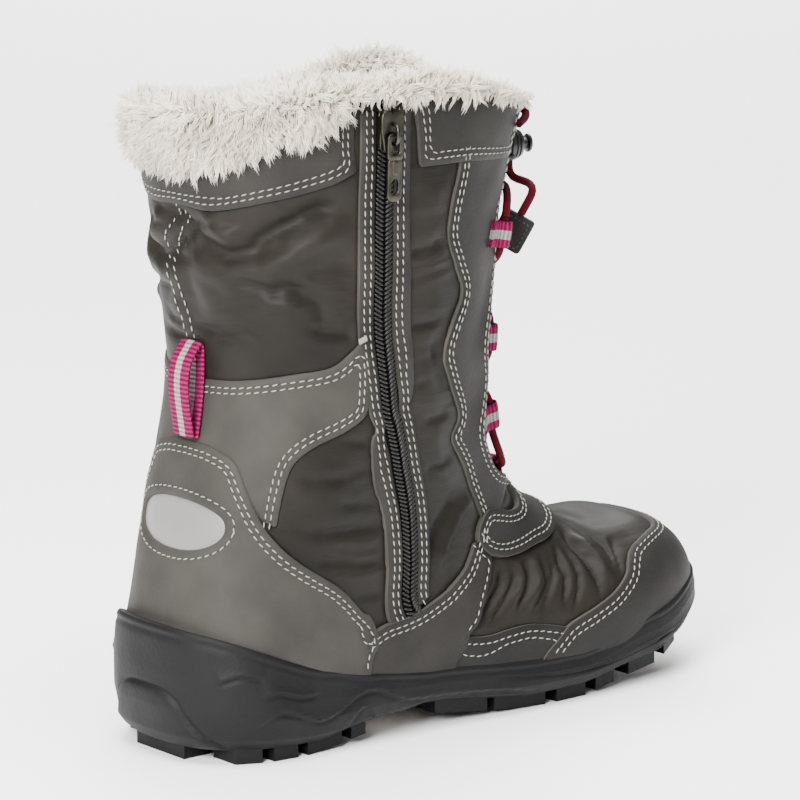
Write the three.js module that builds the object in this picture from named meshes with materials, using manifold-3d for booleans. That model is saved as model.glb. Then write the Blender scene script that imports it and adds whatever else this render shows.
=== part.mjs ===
// Snow boot for the left foot: a moulded sole unit, a lined upper with a fur cuff, a side zip
// and elastic lacing down the front. Millimetres. X runs from heel to toe, Y to the outer
// (lateral) side and Z up. The origin is on the floor under the middle of the heel.
import * as THREE from 'three';
import Module from 'manifold-3d';
import { mergeVertices } from 'three/addons/utils/BufferGeometryUtils.js';

const wasm = await Module();
wasm.setup();

// ---- Driving dimensions -------------------------------------------------------------------
const GAP = 0.3; // clearance between pieces that touch on the real boot
const WALL = 4; // leather or nylon, foam and fleece lining together
const AROUND = 32; // facets around the upper
const LUG = 4.5; // depth of the tread
const FOOTBED = 4; // thickness of the loose insole
const CORD_RADIUS = 1.4;
const WEBBING = 1.2; // thickness of woven tape
const MEDIAL = -1; // the inner side of the foot, where the zip is
const LATERAL = 1;

const table = (columns, rows) => rows.map((cells) => (
  Object.fromEntries(columns.map((name, i) => [name, cells[i]]))));
const radians = (degrees) => (degrees * Math.PI) / 180;
const clamp = (value, low, high) => Math.min(Math.max(value, low), high);
const mix = (a, b, f) => a + (b - a) * f;
const signedPower = (value, power) => Math.sign(value) * Math.abs(value) ** power;

// Reads one column of a table at a place between its rows, half way to an eased curve.
function lookUp(rows, key, at, name) {
  const next = rows.findIndex((row) => row[key] > at);
  const i = clamp((next < 0 ? rows.length : next) - 1, 0, rows.length - 2);
  const [row, after] = [rows[i], rows[i + 1]];
  const share = clamp((at - row[key]) / (after[key] - row[key]), 0, 1);
  const eased = share * share * (3 - 2 * share);
  return mix(row[name], after[name], mix(share, eased, 0.5));
}

// The last: sections from the collar down and then forward to the toe. Each is a rounded
// oblong across the line from its back (or bottom) point to its front (or top) point.
// widest says how far along that line it is widest, and the powers how square its ends are.
const LAST = table(
  ['name', 'backX', 'backZ', 'frontX', 'frontZ', 'centreY', 'medial', 'lateral', 'widest',
    'backPower', 'frontPower'],
  [
    ['rim', -25, 217, 115, 226, 0, 48.5, 48.5, 0.48, 2.4, 2.3],
    ['collar', -22.5, 194, 109.5, 205, 0, 48, 48, 0.48, 2.4, 2.3],
    ['shaft_top', -20, 177, 103, 187, 0, 47, 47, 0.48, 2.4, 2.3],
    ['shaft_mid', -15, 151, 96, 158, 0, 45, 45, 0.47, 2.4, 2.3],
    ['shaft_low', -14, 123, 94, 129, 0, 43, 43, 0.46, 2.4, 2.3],
    ['ankle', -18, 97, 95, 104, 0, 41, 41, 0.44, 2.5, 2.3],
    ['instep', -24, 71, 102, 85, 0, 39, 40, 0.42, 2.6, 2.2],
    ['heel_high', -29, 45, 111, 73, 0, 38, 39, 0.40, 2.8, 2.2],
    ['heel_low', -32, 21, 120, 66, 0, 38, 39, 0.38, 3.0, 2.2],
    ['heel_seat', -22, 4, 129, 61, -1, 38, 40, 0.40, 3.2, 2.2],
    ['waist', 14, 2, 137, 57, -1, 38, 41, 0.42, 3.4, 2.3],
    ['arch', 56, 2, 146, 54, -2, 39, 43, 0.42, 3.8, 2.4],
    ['ball', 96, 0, 155, 54, -3, 40, 43, 0.40, 4.0, 2.5],
    ['joint', 128, 0, 165, 54, -4, 39, 41, 0.40, 4.0, 2.6],
    ['toe_box', 153, 3, 174, 51, -5, 34, 34, 0.40, 3.6, 2.6],
    ['toe', 172, 10, 182, 44, -6, 25.5, 25.5, 0.44, 3.0, 2.5],
    ['tip', 183, 16, 187.5, 34, -6, 14, 14, 0.50, 2.4, 2.3],
    ['nose', 186.5, 21, 188.5, 28, -6, 5, 5, 0.50, 2.2, 2.2],
  ],
);
const LAST_END = LAST.length - 1;
const SHAFT_END = 3; // rings above this row start from the uneven rim
const INNER_END = LAST_END - 1.45; // the hollow stops short of the nose by about the wall

// The sole unit: half widths, the underside of its tread and the top of its side wall.
const SOLE = table(
  ['x', 'medial', 'lateral', 'base', 'top'],
  [
    [-37, 38, 38, 0, 45],
    [8, 40.5, 41, 0, 29],
    [26, 40.8, 41.3, 3, 25],
    [52, 41, 42, 5, 21.5],
    [98, 43.5, 44, 0, 18],
    [118, 43.5, 43.5, 0, 18],
    [153, 41, 40.5, 5, 26],
    [190.5, 33, 32, 17, 36],
  ],
);
const HEEL_X = SOLE[0].x;
const TOE_X = SOLE[SOLE.length - 1].x;
const HEEL_CAP = { length: 36, power: 2.4 }; // how the outline closes at each end
const TOE_CAP = { length: 50, power: 3 };
const TOE_SWING = { from: 68, over: 128, by: -6 }; // the toe turns in to the medial side
// Rings up the side wall: share of the height and how far in from the outline.
const SOLE_RINGS = table(
  ['height', 'inset'],
  [[0, 4.5], [0.12, 1.5], [0.35, 0], [0.62, 0], [0.88, 0.6], [1, 1.6]],
);
// Top of the floor inside the sole, where the upper's edge and the insole stand.
const FLOOR = table(['x', 'z'], [
  [-60, 19], [20, 19], [62, 14], [92, 12], [118, 12], [140, 14.5], [162, 20], [182, 27], [210, 36]]);

// Tread blocks along each edge, and across the middle.
const EDGE_LUGS = table(['from', 'to'], [
  [-22, -14], [-10, -1], [3, 17], [21, 27], [57, 79], [82, 104], [109, 122], [127, 136],
  [143, 156], [162, 170]]);
const CENTRE_LUGS = table(['from', 'to', 'halfWidth'], [
  [-31, -20, 13], [-12, 8, 14], [14, 24, 16], [60, 72, 16], [77, 94, 18], [99, 117, 18], [123, 134, 16],
  [139, 150, 14], [156, 166, 11]]);
const EDGE_LUG = { outer: 5, inner: 17 };

// The zip's centre line down the medial side.
const ZIP_LINE = table(['x', 'z'], [
  [26, 212], [26, 183], [26.8, 160], [27.7, 139], [31.4, 116], [37.5, 95], [43.2, 73], [46, 42]]);
const ZIP_HALF_WIDTH = 3.1;
const ZIP_TOP = 1.9; // how far the coil stands off the upper
const SLIDER_Z = 206.5;

// Webbing loops for the lace, on both edges of the throat, and the tape loop at its foot.
// Their heights, and how many degrees round from the front they stand.
const LACE_LOOPS = table(['name', 'z', 'degrees'], [
  ['upper', 165, 44], ['middle', 127, 31], ['lower', 98, 31]]);
const LOOP = { width: 9, reach: 6.5, lift: 0.6, outer: 3.1, inner: 2.2, tail: 4 };
const THROAT_LOOP_T = 7.35;
const THROAT_LIFT = 0.7; // it stands this much further off, over the hollow of the instep

// ---- The last as a surface ----------------------------------------------------------------
const NUMBER_COLUMNS = Object.keys(LAST[0]).filter((name) => name !== 'name');

function section(t) {
  const i = Math.min(Math.floor(clamp(t, 0, LAST_END)), LAST_END - 1);
  const f = clamp(t, 0, LAST_END) - i;
  const near = [-1, 0, 1, 2].map((k) => LAST[clamp(i + k, 0, LAST_END)]);
  const values = {};
  for (const name of NUMBER_COLUMNS) {
    const [p0, p1, p2, p3] = near.map((row) => row[name]);
    const slope1 = i === 0 ? p2 - p1 : (p2 - p0) / 2;
    const slope2 = i === LAST_END - 1 ? p2 - p1 : (p3 - p1) / 2;
    values[name] = (2 * f ** 3 - 3 * f ** 2 + 1) * p1 + (f ** 3 - 2 * f ** 2 + f) * slope1
      + (3 * f ** 2 - 2 * f ** 3) * p2 + (f ** 3 - f ** 2) * slope2;
  }
  return values;
}

// t counts rows of the table; the angle is 0 at the front, + to the lateral side.
function lastPoint(t, angle) {
  const s = section(t);
  const c = Math.cos(angle);
  const forward = c >= 0;
  const power = forward ? s.frontPower : s.backPower;
  const reach = forward ? 1 - s.widest : s.widest;
  const along = s.widest + reach * signedPower(c, 2 / power);
  const side = signedPower(Math.sin(angle), 2 / power);
  return new THREE.Vector3(
    mix(s.backX, s.frontX, along),
    s.centreY + side * (side >= 0 ? s.lateral : s.medial),
    mix(s.backZ, s.frontZ, along),
  );
}

function frameAt(t, angle) {
  const step = 0.02;
  const down = lastPoint(t + step, angle).sub(lastPoint(t - step, angle)).normalize();
  const round = lastPoint(t, angle + step).sub(lastPoint(t, angle - step));
  const out = new THREE.Vector3().crossVectors(down, round).normalize();
  return { point: lastPoint(t, angle), out, up: down.negate() };
}

function offsetPoint(t, angle, distance) {
  const { point, out } = frameAt(t, angle);
  return point.addScaledVector(out, distance);
}

// Finds where the side of the last passes a given x and z.
function findOnSide(x, z, side) {
  let t = clamp((215 - z) / 24, 0.3, 8);
  let angle = side * radians(95);
  const step = 0.01;
  for (let turn = 0; turn < 30; turn += 1) {
    const here = lastPoint(t, angle);
    const byT = lastPoint(t + step, angle).sub(here).divideScalar(step);
    const byAngle = lastPoint(t, angle + step).sub(here).divideScalar(step);
    const missX = x - here.x;
    const missZ = z - here.z;
    const det = byT.x * byAngle.z - byAngle.x * byT.z;
    t = clamp(t + 0.7 * ((missX * byAngle.z - byAngle.x * missZ) / det), 0.05, LAST_END - 1);
    angle += 0.7 * ((byT.x * missZ - missX * byT.z) / det);
  }
  return { t, angle };
}

// Finds the row that passes a given height at one angle.
function findHeight(z, angle) {
  let low = 0;
  let high = 9;
  for (let turn = 0; turn < 30; turn += 1) {
    const middle = (low + high) / 2;
    if (lastPoint(middle, angle).z > z) low = middle; else high = middle;
  }
  return low;
}

// The rim stands highest over the zip and dips at the front and on the lateral side.
const rimRow = (angle) => 0.25 * (1 + Math.sin(angle)) + 0.18 * (1 + Math.cos(angle));

// ---- Solids -------------------------------------------------------------------------------
function solid(points, triangles) {
  return new wasm.Manifold(new wasm.Mesh({
    numProp: 3,
    vertProperties: new Float32Array(points.flatMap((p) => [p.x, p.y, p.z])),
    triVerts: new Uint32Array(triangles.flat()),
  }));
}

function solidFrom(geometry) {
  geometry.deleteAttribute('normal');
  geometry.deleteAttribute('uv');
  const merged = mergeVertices(geometry, 1e-4);
  return new wasm.Manifold(new wasm.Mesh({
    numProp: 3,
    vertProperties: new Float32Array(merged.attributes.position.array),
    triVerts: new Uint32Array(merged.index.array),
  }));
}

// Triangles between neighbouring rings of a skin; a closed loop's last ring joins the first.
function bands(bandCount, ringCount, count) {
  const triangles = [];
  for (let i = 0; i < bandCount; i += 1) {
    const next = (i + 1) % ringCount;
    for (let j = 0; j < count; j += 1) {
      const k = (j + 1) % count;
      const [a, b, c, d] = [i * count + j, next * count + j, next * count + k, i * count + k];
      triangles.push([a, b, c], [a, c, d]);
    }
  }
  return triangles;
}

// Joins rings of equal count into a closed skin, each end closed to its own middle point.
function loft(rings) {
  const count = rings[0].length;
  const points = rings.flat();
  const triangles = bands(rings.length - 1, rings.length, count);
  [rings[0], rings[rings.length - 1]].forEach((ring, end) => {
    const middle = ring.reduce((sum, p) => sum.add(p), new THREE.Vector3()).divideScalar(count);
    const centre = points.push(middle) - 1;
    const start = end === 0 ? 0 : (rings.length - 1) * count;
    for (let j = 0; j < count; j += 1) {
      const k = (j + 1) % count;
      triangles.push(end === 0 ? [centre, start + j, start + k] : [centre, start + k, start + j]);
    }
  });
  return solid(points, triangles);
}

// Joins rings all the way round into a closed tube without ends, such as the fur cuff.
const closedLoop = (rings) => solid(
  rings.flat(),
  bands(rings.length, rings.length, rings[0].length),
);

function ring(rowAt, distance) {
  return Array.from({ length: AROUND }, (_, j) => {
    const angle = (j / AROUND) * 2 * Math.PI;
    return offsetPoint(rowAt(angle), angle, distance);
  });
}

// The last grown by a distance, from a rim function down to a given row.
function lastSolid(distance, rim, end, liftRim = 0) {
  const shaftRings = 6;
  const rings = Array.from({ length: shaftRings }, (_, i) => (
    ring((angle) => mix(rim(angle), SHAFT_END, i / shaftRings), distance)));
  for (let t = SHAFT_END; t < end - 0.25; t += 0.5) rings.push(ring(() => t, distance));
  rings.push(ring(() => end, distance));
  if (liftRim) rings.unshift(rings[0].map((p) => p.clone().setZ(p.z + liftRim)));
  return loft(rings);
}

// Extrudes an outline drawn in x and z from one y to another.
function prismXZ(outline, fromY, toY) {
  const shape = new THREE.Shape(outline.map(([x, z]) => new THREE.Vector2(x, z)));
  const geometry = new THREE.ExtrudeGeometry(shape, { depth: toY - fromY, bevelEnabled: false });
  geometry.rotateX(Math.PI / 2);
  geometry.translate(0, toY, 0);
  return solidFrom(geometry);
}

const aboveFloor = (lift) => prismXZ(
  [...FLOOR.map(({ x, z }) => [x, z + lift]), [FLOOR[FLOOR.length - 1].x, 300], [FLOOR[0].x, 300]], -80, 80);

// A tube of the cord's size along a hand-set route.
function cordTube(route, steps) {
  const section2d = new THREE.Shape();
  const sides = 8;
  for (let i = 0; i < sides; i += 1) {
    const angle = (i / sides) * 2 * Math.PI;
    section2d[i ? 'lineTo' : 'moveTo'](CORD_RADIUS * Math.cos(angle), CORD_RADIUS * Math.sin(angle));
  }
  const path = new THREE.CatmullRomCurve3(route, false, 'centripetal');
  return solidFrom(new THREE.ExtrudeGeometry(section2d, { steps, bevelEnabled: false, extrudePath: path }));
}

// Puts a solid drawn as x = right, y = up, z = out onto the upper.
function place(shape, { point, up, out }) {
  const right = new THREE.Vector3().crossVectors(up, out).normalize();
  const trueUp = new THREE.Vector3().crossVectors(out, right);
  const matrix = new THREE.Matrix4().makeBasis(right, trueUp, out).setPosition(point);
  return shape.transform(matrix.elements);
}

const block = (x0, x1, y0, y1, z0, z1) => {
  const geometry = new THREE.BoxGeometry(x1 - x0, y1 - y0, z1 - z0);
  geometry.translate((x0 + x1) / 2, (y0 + y1) / 2, (z0 + z1) / 2);
  return solidFrom(geometry);
};

const cylinder = (radius, z0, z1, sides = 24) => {
  const geometry = new THREE.CylinderGeometry(radius, radius, z1 - z0, sides);
  geometry.rotateX(Math.PI / 2);
  geometry.translate(0, 0, (z0 + z1) / 2);
  return solidFrom(geometry);
};

function roundedPlate(width, bottom, top, corner, z0, z1) {
  const half = width / 2;
  const shape = new THREE.Shape();
  shape.moveTo(-half + corner, bottom);
  shape.lineTo(half - corner, bottom);
  shape.absarc(half - corner, bottom + corner, corner, -Math.PI / 2, 0);
  shape.absarc(half - corner, top - corner, corner, 0, Math.PI / 2);
  shape.absarc(-half + corner, top - corner, corner, Math.PI / 2, Math.PI);
  shape.absarc(-half + corner, bottom + corner, corner, Math.PI, Math.PI * 1.5);
  const geometry = new THREE.ExtrudeGeometry(
    shape,
    { depth: z1 - z0, bevelEnabled: false, curveSegments: 4 },
  );
  geometry.translate(0, 0, z0);
  return solidFrom(geometry);
}

// ---- Sole ---------------------------------------------------------------------------------
function solePlan(x, side, inset) {
  const heel = clamp((HEEL_X + HEEL_CAP.length - x) / HEEL_CAP.length, 0, 1);
  const toe = clamp((x - TOE_X + TOE_CAP.length) / TOE_CAP.length, 0, 1);
  const closing = (1 - heel ** HEEL_CAP.power) ** (1 / HEEL_CAP.power)
    * (1 - toe ** TOE_CAP.power) ** (1 / TOE_CAP.power);
  const half = lookUp(SOLE, 'x', x, side < 0 ? 'medial' : 'lateral') * closing;
  const centre = TOE_SWING.by * clamp((x - TOE_SWING.from) / TOE_SWING.over, 0, 1) ** 1.5;
  return centre + side * Math.max(half - inset, 0);
}

// Closes a symmetric ring with strips straight across from the medial to the lateral side.
function stripCap(start, count, facingUp) {
  const triangles = [];
  for (let i = 0; i < count / 2; i += 1) {
    const [a, b] = [start + i, start + i + 1];
    const [c, d] = [start + ((count - i - 1) % count), start + ((count - i) % count)];
    if (b !== c) triangles.push(facingUp ? [a, b, c] : [a, c, b]);
    if (a !== d) triangles.push(facingUp ? [a, c, d] : [a, d, c]);
  }
  return triangles;
}

function soleRing({ height, inset }) {
  const half = 26;
  const stations = Array.from({ length: half + 1 }, (_, i) => (1 - Math.cos((Math.PI * i) / half)) / 2);
  const at = (share, side) => {
    const x = mix(HEEL_X + inset, TOE_X - inset, share);
    const base = lookUp(SOLE, 'x', x, 'base') + LUG;
    const plan = mix(HEEL_X, TOE_X, share);
    const narrow = 1 - inset / 40;
    const y = solePlan(plan, side, 0) * narrow;
    return new THREE.Vector3(x, y, mix(base, lookUp(SOLE, 'x', x, 'top'), height));
  };
  return [
    ...stations.map((share) => at(share, MEDIAL)),
    ...stations.slice(1, -1).reverse().map((share) => at(share, LATERAL)),
  ];
}

function treadBlock(corners) {
  const bottom = corners.map(([x, y]) => new THREE.Vector3(x, y, lookUp(SOLE, 'x', x, 'base')));
  const top = bottom.map((p) => new THREE.Vector3(p.x, p.y, p.z + LUG + 1.2));
  return wasm.Manifold.hull([...bottom, ...top].map((p) => [p.x, p.y, p.z]));
}

function makeSole() {
  const rings = SOLE_RINGS.map(soleRing).reverse();
  const count = rings[0].length;
  const body = solid(rings.flat(), [
    ...bands(rings.length - 1, rings.length, count),
    ...stripCap(0, count, true),
    ...stripCap((rings.length - 1) * count, count, false),
  ]);
  const hollow = lastSolid(GAP, () => 2, LAST_END).intersect(aboveFloor(-GAP));
  const lugs = [];
  for (const side of [MEDIAL, LATERAL]) {
    for (const { from, to } of EDGE_LUGS) {
      const y = (x, inset) => solePlan(x, side, inset);
      lugs.push(treadBlock([
        [from, y(from, EDGE_LUG.outer)], [to, y(to, EDGE_LUG.outer)],
        [to, y(to, EDGE_LUG.inner)], [from, y(from, EDGE_LUG.inner)]]));
    }
  }
  for (const { from, to, halfWidth } of CENTRE_LUGS) {
    const middle = (x) => (solePlan(x, MEDIAL, 0) + solePlan(x, LATERAL, 0)) / 2;
    lugs.push(treadBlock([
      [from, middle(from) - halfWidth], [to, middle(to) - halfWidth],
      [to, middle(to) + halfWidth], [from, middle(from) + halfWidth]]));
  }
  return lugs.reduce((sole, lug) => sole.add(lug), body).subtract(hollow);
}

const makeInsole = () => lastSolid(-WALL - GAP - 0.15, () => 2, INNER_END)
  .intersect(aboveFloor(GAP).subtract(aboveFloor(FOOTBED)));

// ---- Upper and cuff -----------------------------------------------------------------------
function makeUpper() {
  const outside = lastSolid(0, rimRow, LAST_END);
  const inside = lastSolid(-WALL, rimRow, INNER_END, 15);
  return outside.subtract(inside).intersect(aboveFloor(0));
}

// The fur folds over the rim: low outside at the back, short from the zip forwards.
// Degrees round from the front, and how far below the rim the fur's outer edge hangs.
const CUFF_DROP = table(['degrees', 'drop'], [
  [-180, 22], [-150, 19], [-135, 14], [-121, 13], [-112, 3.2], [-90, 3.2], [-70, 6], [-45, 7],
  [45, 7], [90, 10], [135, 16], [180, 22]]);
const CUFF_OUT = 8;
const CUFF_IN = 9;
const CUFF_TOP = 7;
const CUFF_INSIDE_DROP = 26;
const CUFF_CLEAR = 0.8;

function makeCuff() {
  const rowsPerMillimetre = 1 / 21;
  const corner = (angle, out, height) => {
    const rim = rimRow(angle);
    if (height <= 0) return offsetPoint(rim - height * rowsPerMillimetre, angle, out);
    const { point, out: outward } = frameAt(rim, angle);
    return point.addScaledVector(outward, out).add(new THREE.Vector3(0, 0, height));
  };
  const rings = Array.from({ length: AROUND }, (_, j) => {
    const angle = (j / AROUND) * 2 * Math.PI - Math.PI;
    const drop = lookUp(CUFF_DROP, 'degrees', (angle * 180) / Math.PI, 'drop');
    return [
      [CUFF_CLEAR, -drop], [CUFF_OUT * 0.7, -drop + 0.5], [CUFF_OUT, -drop * 0.6], [CUFF_OUT, 0],
      [CUFF_OUT * 0.6, CUFF_TOP * 0.7], [0, CUFF_TOP], [-CUFF_IN, CUFF_TOP * 0.8],
      [-CUFF_IN - 4, 0], [-CUFF_IN - 3, -CUFF_INSIDE_DROP * 0.7], [-WALL - 1.2, -CUFF_INSIDE_DROP],
      [-WALL - CUFF_CLEAR, -CUFF_INSIDE_DROP * 0.5], [-WALL - CUFF_CLEAR, CUFF_CLEAR],
      [CUFF_CLEAR, CUFF_CLEAR], [CUFF_CLEAR, -drop * 0.5],
    ].map(([out, height]) => corner(angle, out, height));
  });
  return closedLoop(rings);
}

// ---- Zip ----------------------------------------------------------------------------------
function makeZipChain() {
  const left = ZIP_LINE.map(({ x, z }) => [x - ZIP_HALF_WIDTH, z]);
  const right = ZIP_LINE.map(({ x, z }) => [x + ZIP_HALF_WIDTH, z]).reverse();
  const band = prismXZ([...left, ...right], -80, -15);
  const skin = lastSolid(ZIP_TOP, () => 0.02, 12).subtract(lastSolid(0.5, () => 0.01, 12.5, 20));
  return skin.intersect(band);
}

const SLIDER = { low: 2.3, top: 4.6, arch: 8.2 };
const PULL_AXIS = { up: -1.6, out: 5.9 };
const sliderSpot = (() => {
  const { t, angle } = findOnSide(ZIP_LINE[0].x, SLIDER_Z, MEDIAL);
  return frameAt(t, angle);
})();

function makeZipSlider() {
  const plate = roundedPlate(8.6, -7, 6.5, 2.2, SLIDER.low, SLIDER.top);
  const arch = block(-1, 1, -4.6, 2, SLIDER.top - 0.5, SLIDER.arch)
    .subtract(block(-2, 2, -3.4, 0.8, SLIDER.top, SLIDER.arch - 1.2));
  return place(plate.add(arch), sliderSpot);
}

function makeZipPull() {
  const low = PULL_AXIS.out - 0.7;
  const high = PULL_AXIS.out + 0.7;
  const eye = block(-1.5, 1.5, -7.6, -2.3, 0, 20);
  const window = roundedPlate(2.6, -20.4, -15.6, 1, 0, 20);
  const head = roundedPlate(6, -9.4, -0.9, 1.4, low, high);
  const tab = roundedPlate(5.4, -22.8, -8.6, 1.6, low, high);
  return place(head.add(tab).subtract(eye).subtract(window), sliderSpot);
}

// ---- Webbing, lace and cord lock ----------------------------------------------------------
// A strip of even thickness along an open path of [x, y] points.
function stripOutline(path, thickness) {
  const edge = (side) => path.map(([x, y], i) => {
    const [x0, y0] = path[Math.max(i - 1, 0)];
    const [x1, y1] = path[Math.min(i + 1, path.length - 1)];
    const length = Math.hypot(x1 - x0, y1 - y0);
    const half = (side * thickness) / 2;
    return [x - ((y1 - y0) / length) * half, y + ((x1 - x0) / length) * half];
  });
  return [...edge(1), ...edge(-1).reverse()];
}

const PULL_LOOP = { width: 10.5, bottom: 104, top: 134, bow: 8, lift: 1.3 };

function makePullLoop() {
  const back = (z, out) => {
    const spot = offsetPoint(findHeight(z, Math.PI), Math.PI, out);
    return [spot.x, spot.z];
  };
  const { bottom, top, bow, lift } = PULL_LOOP;
  const steps = 8;
  const inner = Array.from({ length: steps + 1 }, (_, i) => back(mix(bottom, top, i / steps), lift));
  const outer = Array.from({ length: steps + 1 }, (_, i) => {
    const share = i / steps;
    return back(mix(top, bottom, share), lift + 2 + (bow - lift - 2) * Math.sin(Math.PI * share ** 0.7));
  });
  const fold = back(top + 1.4, lift + 1);
  const outline = stripOutline([...inner, fold, ...outer], WEBBING);
  return prismXZ(outline, -PULL_LOOP.width / 2, PULL_LOOP.width / 2);
}

function loopShape() {
  const eyeAt = [LOOP.reach, LOOP.lift + LOOP.outer];
  const eyeTube = cylinder(LOOP.outer, -LOOP.width / 2, LOOP.width / 2, 16).translate([...eyeAt, 0]);
  const eyeBore = cylinder(LOOP.inner, -LOOP.width, LOOP.width, 16).translate([...eyeAt, 0]);
  const tail = block(-LOOP.tail, LOOP.reach, LOOP.lift, LOOP.lift + 1.6, -LOOP.width / 2, LOOP.width / 2);
  return tail.add(eyeTube).subtract(eyeBore);
}

// Loops stand with their eye towards the middle of the throat and the bore up the shaft.
function loopSpot(side, z, degrees) {
  const angle = side * radians(degrees);
  return { ...frameAt(findHeight(z, angle), angle), side };
}

function makeLaceLoop({ side, point, up, out }) {
  const toMiddle = new THREE.Vector3().crossVectors(up, out).multiplyScalar(-side).normalize();
  const along = new THREE.Vector3().crossVectors(toMiddle, out);
  const matrix = new THREE.Matrix4().makeBasis(toMiddle, out, along).setPosition(point);
  return loopShape().transform(matrix.elements);
}

function loopCentre({ side, point, up, out }) {
  const toMiddle = new THREE.Vector3().crossVectors(up, out).multiplyScalar(-side).normalize();
  return point.clone().addScaledVector(toMiddle, LOOP.reach).addScaledVector(out, LOOP.lift + LOOP.outer);
}

// The lowest loop lies across the foot of the throat, its eye towards the shaft.
const throatSpot = (() => {
  const spot = frameAt(THROAT_LOOP_T, 0);
  return { ...spot, point: spot.point.clone().addScaledVector(spot.out, THROAT_LIFT) };
})();

function makeThroatLoop() {
  const right = new THREE.Vector3().crossVectors(throatSpot.up, throatSpot.out);
  const matrix = new THREE.Matrix4()
    .makeBasis(throatSpot.up, throatSpot.out, right.negate()).setPosition(throatSpot.point);
  return loopShape().transform(matrix.elements);
}

const spots = Object.fromEntries([MEDIAL, LATERAL].map((side) => (
  [side, Object.fromEntries(LACE_LOOPS.map(({ name, z, degrees }) => [name, loopSpot(side, z, degrees)]))])));

// Points through one loop's eye, from below to above.
function throughLoop(spot) {
  const centre = loopCentre(spot);
  return [-5.6, 0, 5.6].map((height) => centre.clone().addScaledVector(spot.up, height));
}

// A point that stands off the front of the upper, by its height and degrees from the front.
const overFront = (z, degrees, lift) => (
  offsetPoint(findHeight(z, radians(degrees)), radians(degrees), lift));

// Points over the front of the upper between two heights and two angles.
const acrossThroat = (fromZ, toZ, fromAngle, toAngle, lift) => [0.25, 0.5, 0.75].map((share) => (
  overFront(mix(fromZ, toZ, share), mix(fromAngle, toAngle, share), lift + (share === 0.5 ? 1 : 0))));

function crossingRoute(side, lift) {
  const [upper, middle, lower] = LACE_LOOPS.map(({ z }) => z);
  const start = throatSpot.point.clone()
    .addScaledVector(throatSpot.up, LOOP.reach).addScaledVector(throatSpot.out, LOOP.lift + LOOP.outer);
  const near = 24;
  const far = 36;
  return [
    start.clone().setY(0),
    start.clone().setY(side * 5.6),
    overFront(84, side * 26, 4.6),
    ...throughLoop(spots[side].lower),
    ...acrossThroat(lower + 8, middle - 8, side * near, -side * near, lift),
    ...throughLoop(spots[-side].middle),
    ...acrossThroat(middle + 8, upper - 8, -side * near, side * far, lift),
    ...throughLoop(spots[side].upper),
  ];
}

const makeCrossings = () => cordTube(crossingRoute(MEDIAL, 3), 42)
  .add(cordTube(crossingRoute(LATERAL, 4.6), 42));

// The cord lock: a round barrel pointing out from the front, with two bores for the cord.
const LOCK = {
  centre: new THREE.Vector3(111, -11, 190),
  out: new THREE.Vector3(0.96, -0.28, 0).normalize(),
  up: new THREE.Vector3(0, 0, 1),
  radius: 5.6,
  halfDepth: 4.4,
  bore: 1.95,
  boreApart: 2.6,
  boreOut: -1.2,
};
const lockFrame = { point: LOCK.centre, up: LOCK.up, out: LOCK.out };
const lockRight = new THREE.Vector3().crossVectors(LOCK.up, LOCK.out);
const lockEnd = (side, height) => LOCK.centre.clone()
  .addScaledVector(lockRight, side * LOCK.boreApart)
  .addScaledVector(LOCK.out, LOCK.boreOut)
  .addScaledVector(LOCK.up, height);

function makeCordLock() {
  const { radius, halfDepth } = LOCK;
  const profile = [
    [0, -halfDepth], [radius * 0.7, -halfDepth], [radius * 0.93, -halfDepth * 0.6], [radius, 0],
    [radius * 0.93, halfDepth * 0.6], [radius * 0.7, halfDepth], [0, halfDepth],
  ].map(([r, h]) => new THREE.Vector2(r, h));
  const lathe = new THREE.LatheGeometry(profile, 20);
  lathe.rotateX(Math.PI / 2);
  const boreGeometry = new THREE.CylinderGeometry(LOCK.bore, LOCK.bore, 20, 12);
  const bores = [-1, 1].map((side) => (
    solidFrom(boreGeometry.clone()).translate([side * LOCK.boreApart, 0, LOCK.boreOut])));
  const socket = cylinder(2.4, 1.2, 10);
  return place(solidFrom(lathe).subtract(bores[0]).subtract(bores[1]).subtract(socket), lockFrame);
}

const makeLockButton = () => place(cylinder(1.9, 3.4, 6.8).add(cylinder(3.2, 6.5, 7.9)), lockFrame);

// The leather end tab hangs with its long diagonal towards the floor.
const TAB = {
  centre: new THREE.Vector3(104.2, -20.6, 162),
  out: new THREE.Vector3(-0.77, -0.64, 0).normalize(),
  lean: radians(-28),
};

function makeLaceTab() {
  const plate = roundedPlate(11.5, -6.2, 6.2, 1.2, -1.5, 1.5).rotate([0, 0, (TAB.lean * 180) / Math.PI]);
  return place(plate, { point: TAB.centre, up: new THREE.Vector3(0, 0, 1), out: TAB.out });
}

const vectors = (rows) => rows.map(([x, y, z]) => new THREE.Vector3(x, y, z));
const aboveLoop = (side, height) => {
  const spot = spots[side].upper;
  return loopCentre(spot).addScaledVector(spot.up, 5.6 + GAP + height);
};
// A point just off one edge of the tab: its place in the tab's own plane, and how far off.
const offTab = (x, y, distance) => {
  const right = new THREE.Vector3().crossVectors(new THREE.Vector3(0, 0, 1), TAB.out);
  const edge = new THREE.Vector2(x, y);
  edge.setLength(edge.length() + distance).rotateAround(new THREE.Vector2(), TAB.lean);
  return TAB.centre.clone().addScaledVector(right, edge.x).add(new THREE.Vector3(0, 0, edge.y));
};
const throughLock = (side) => [-9, -5, 0, 5, 9].map((height) => lockEnd(side, height));

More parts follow.
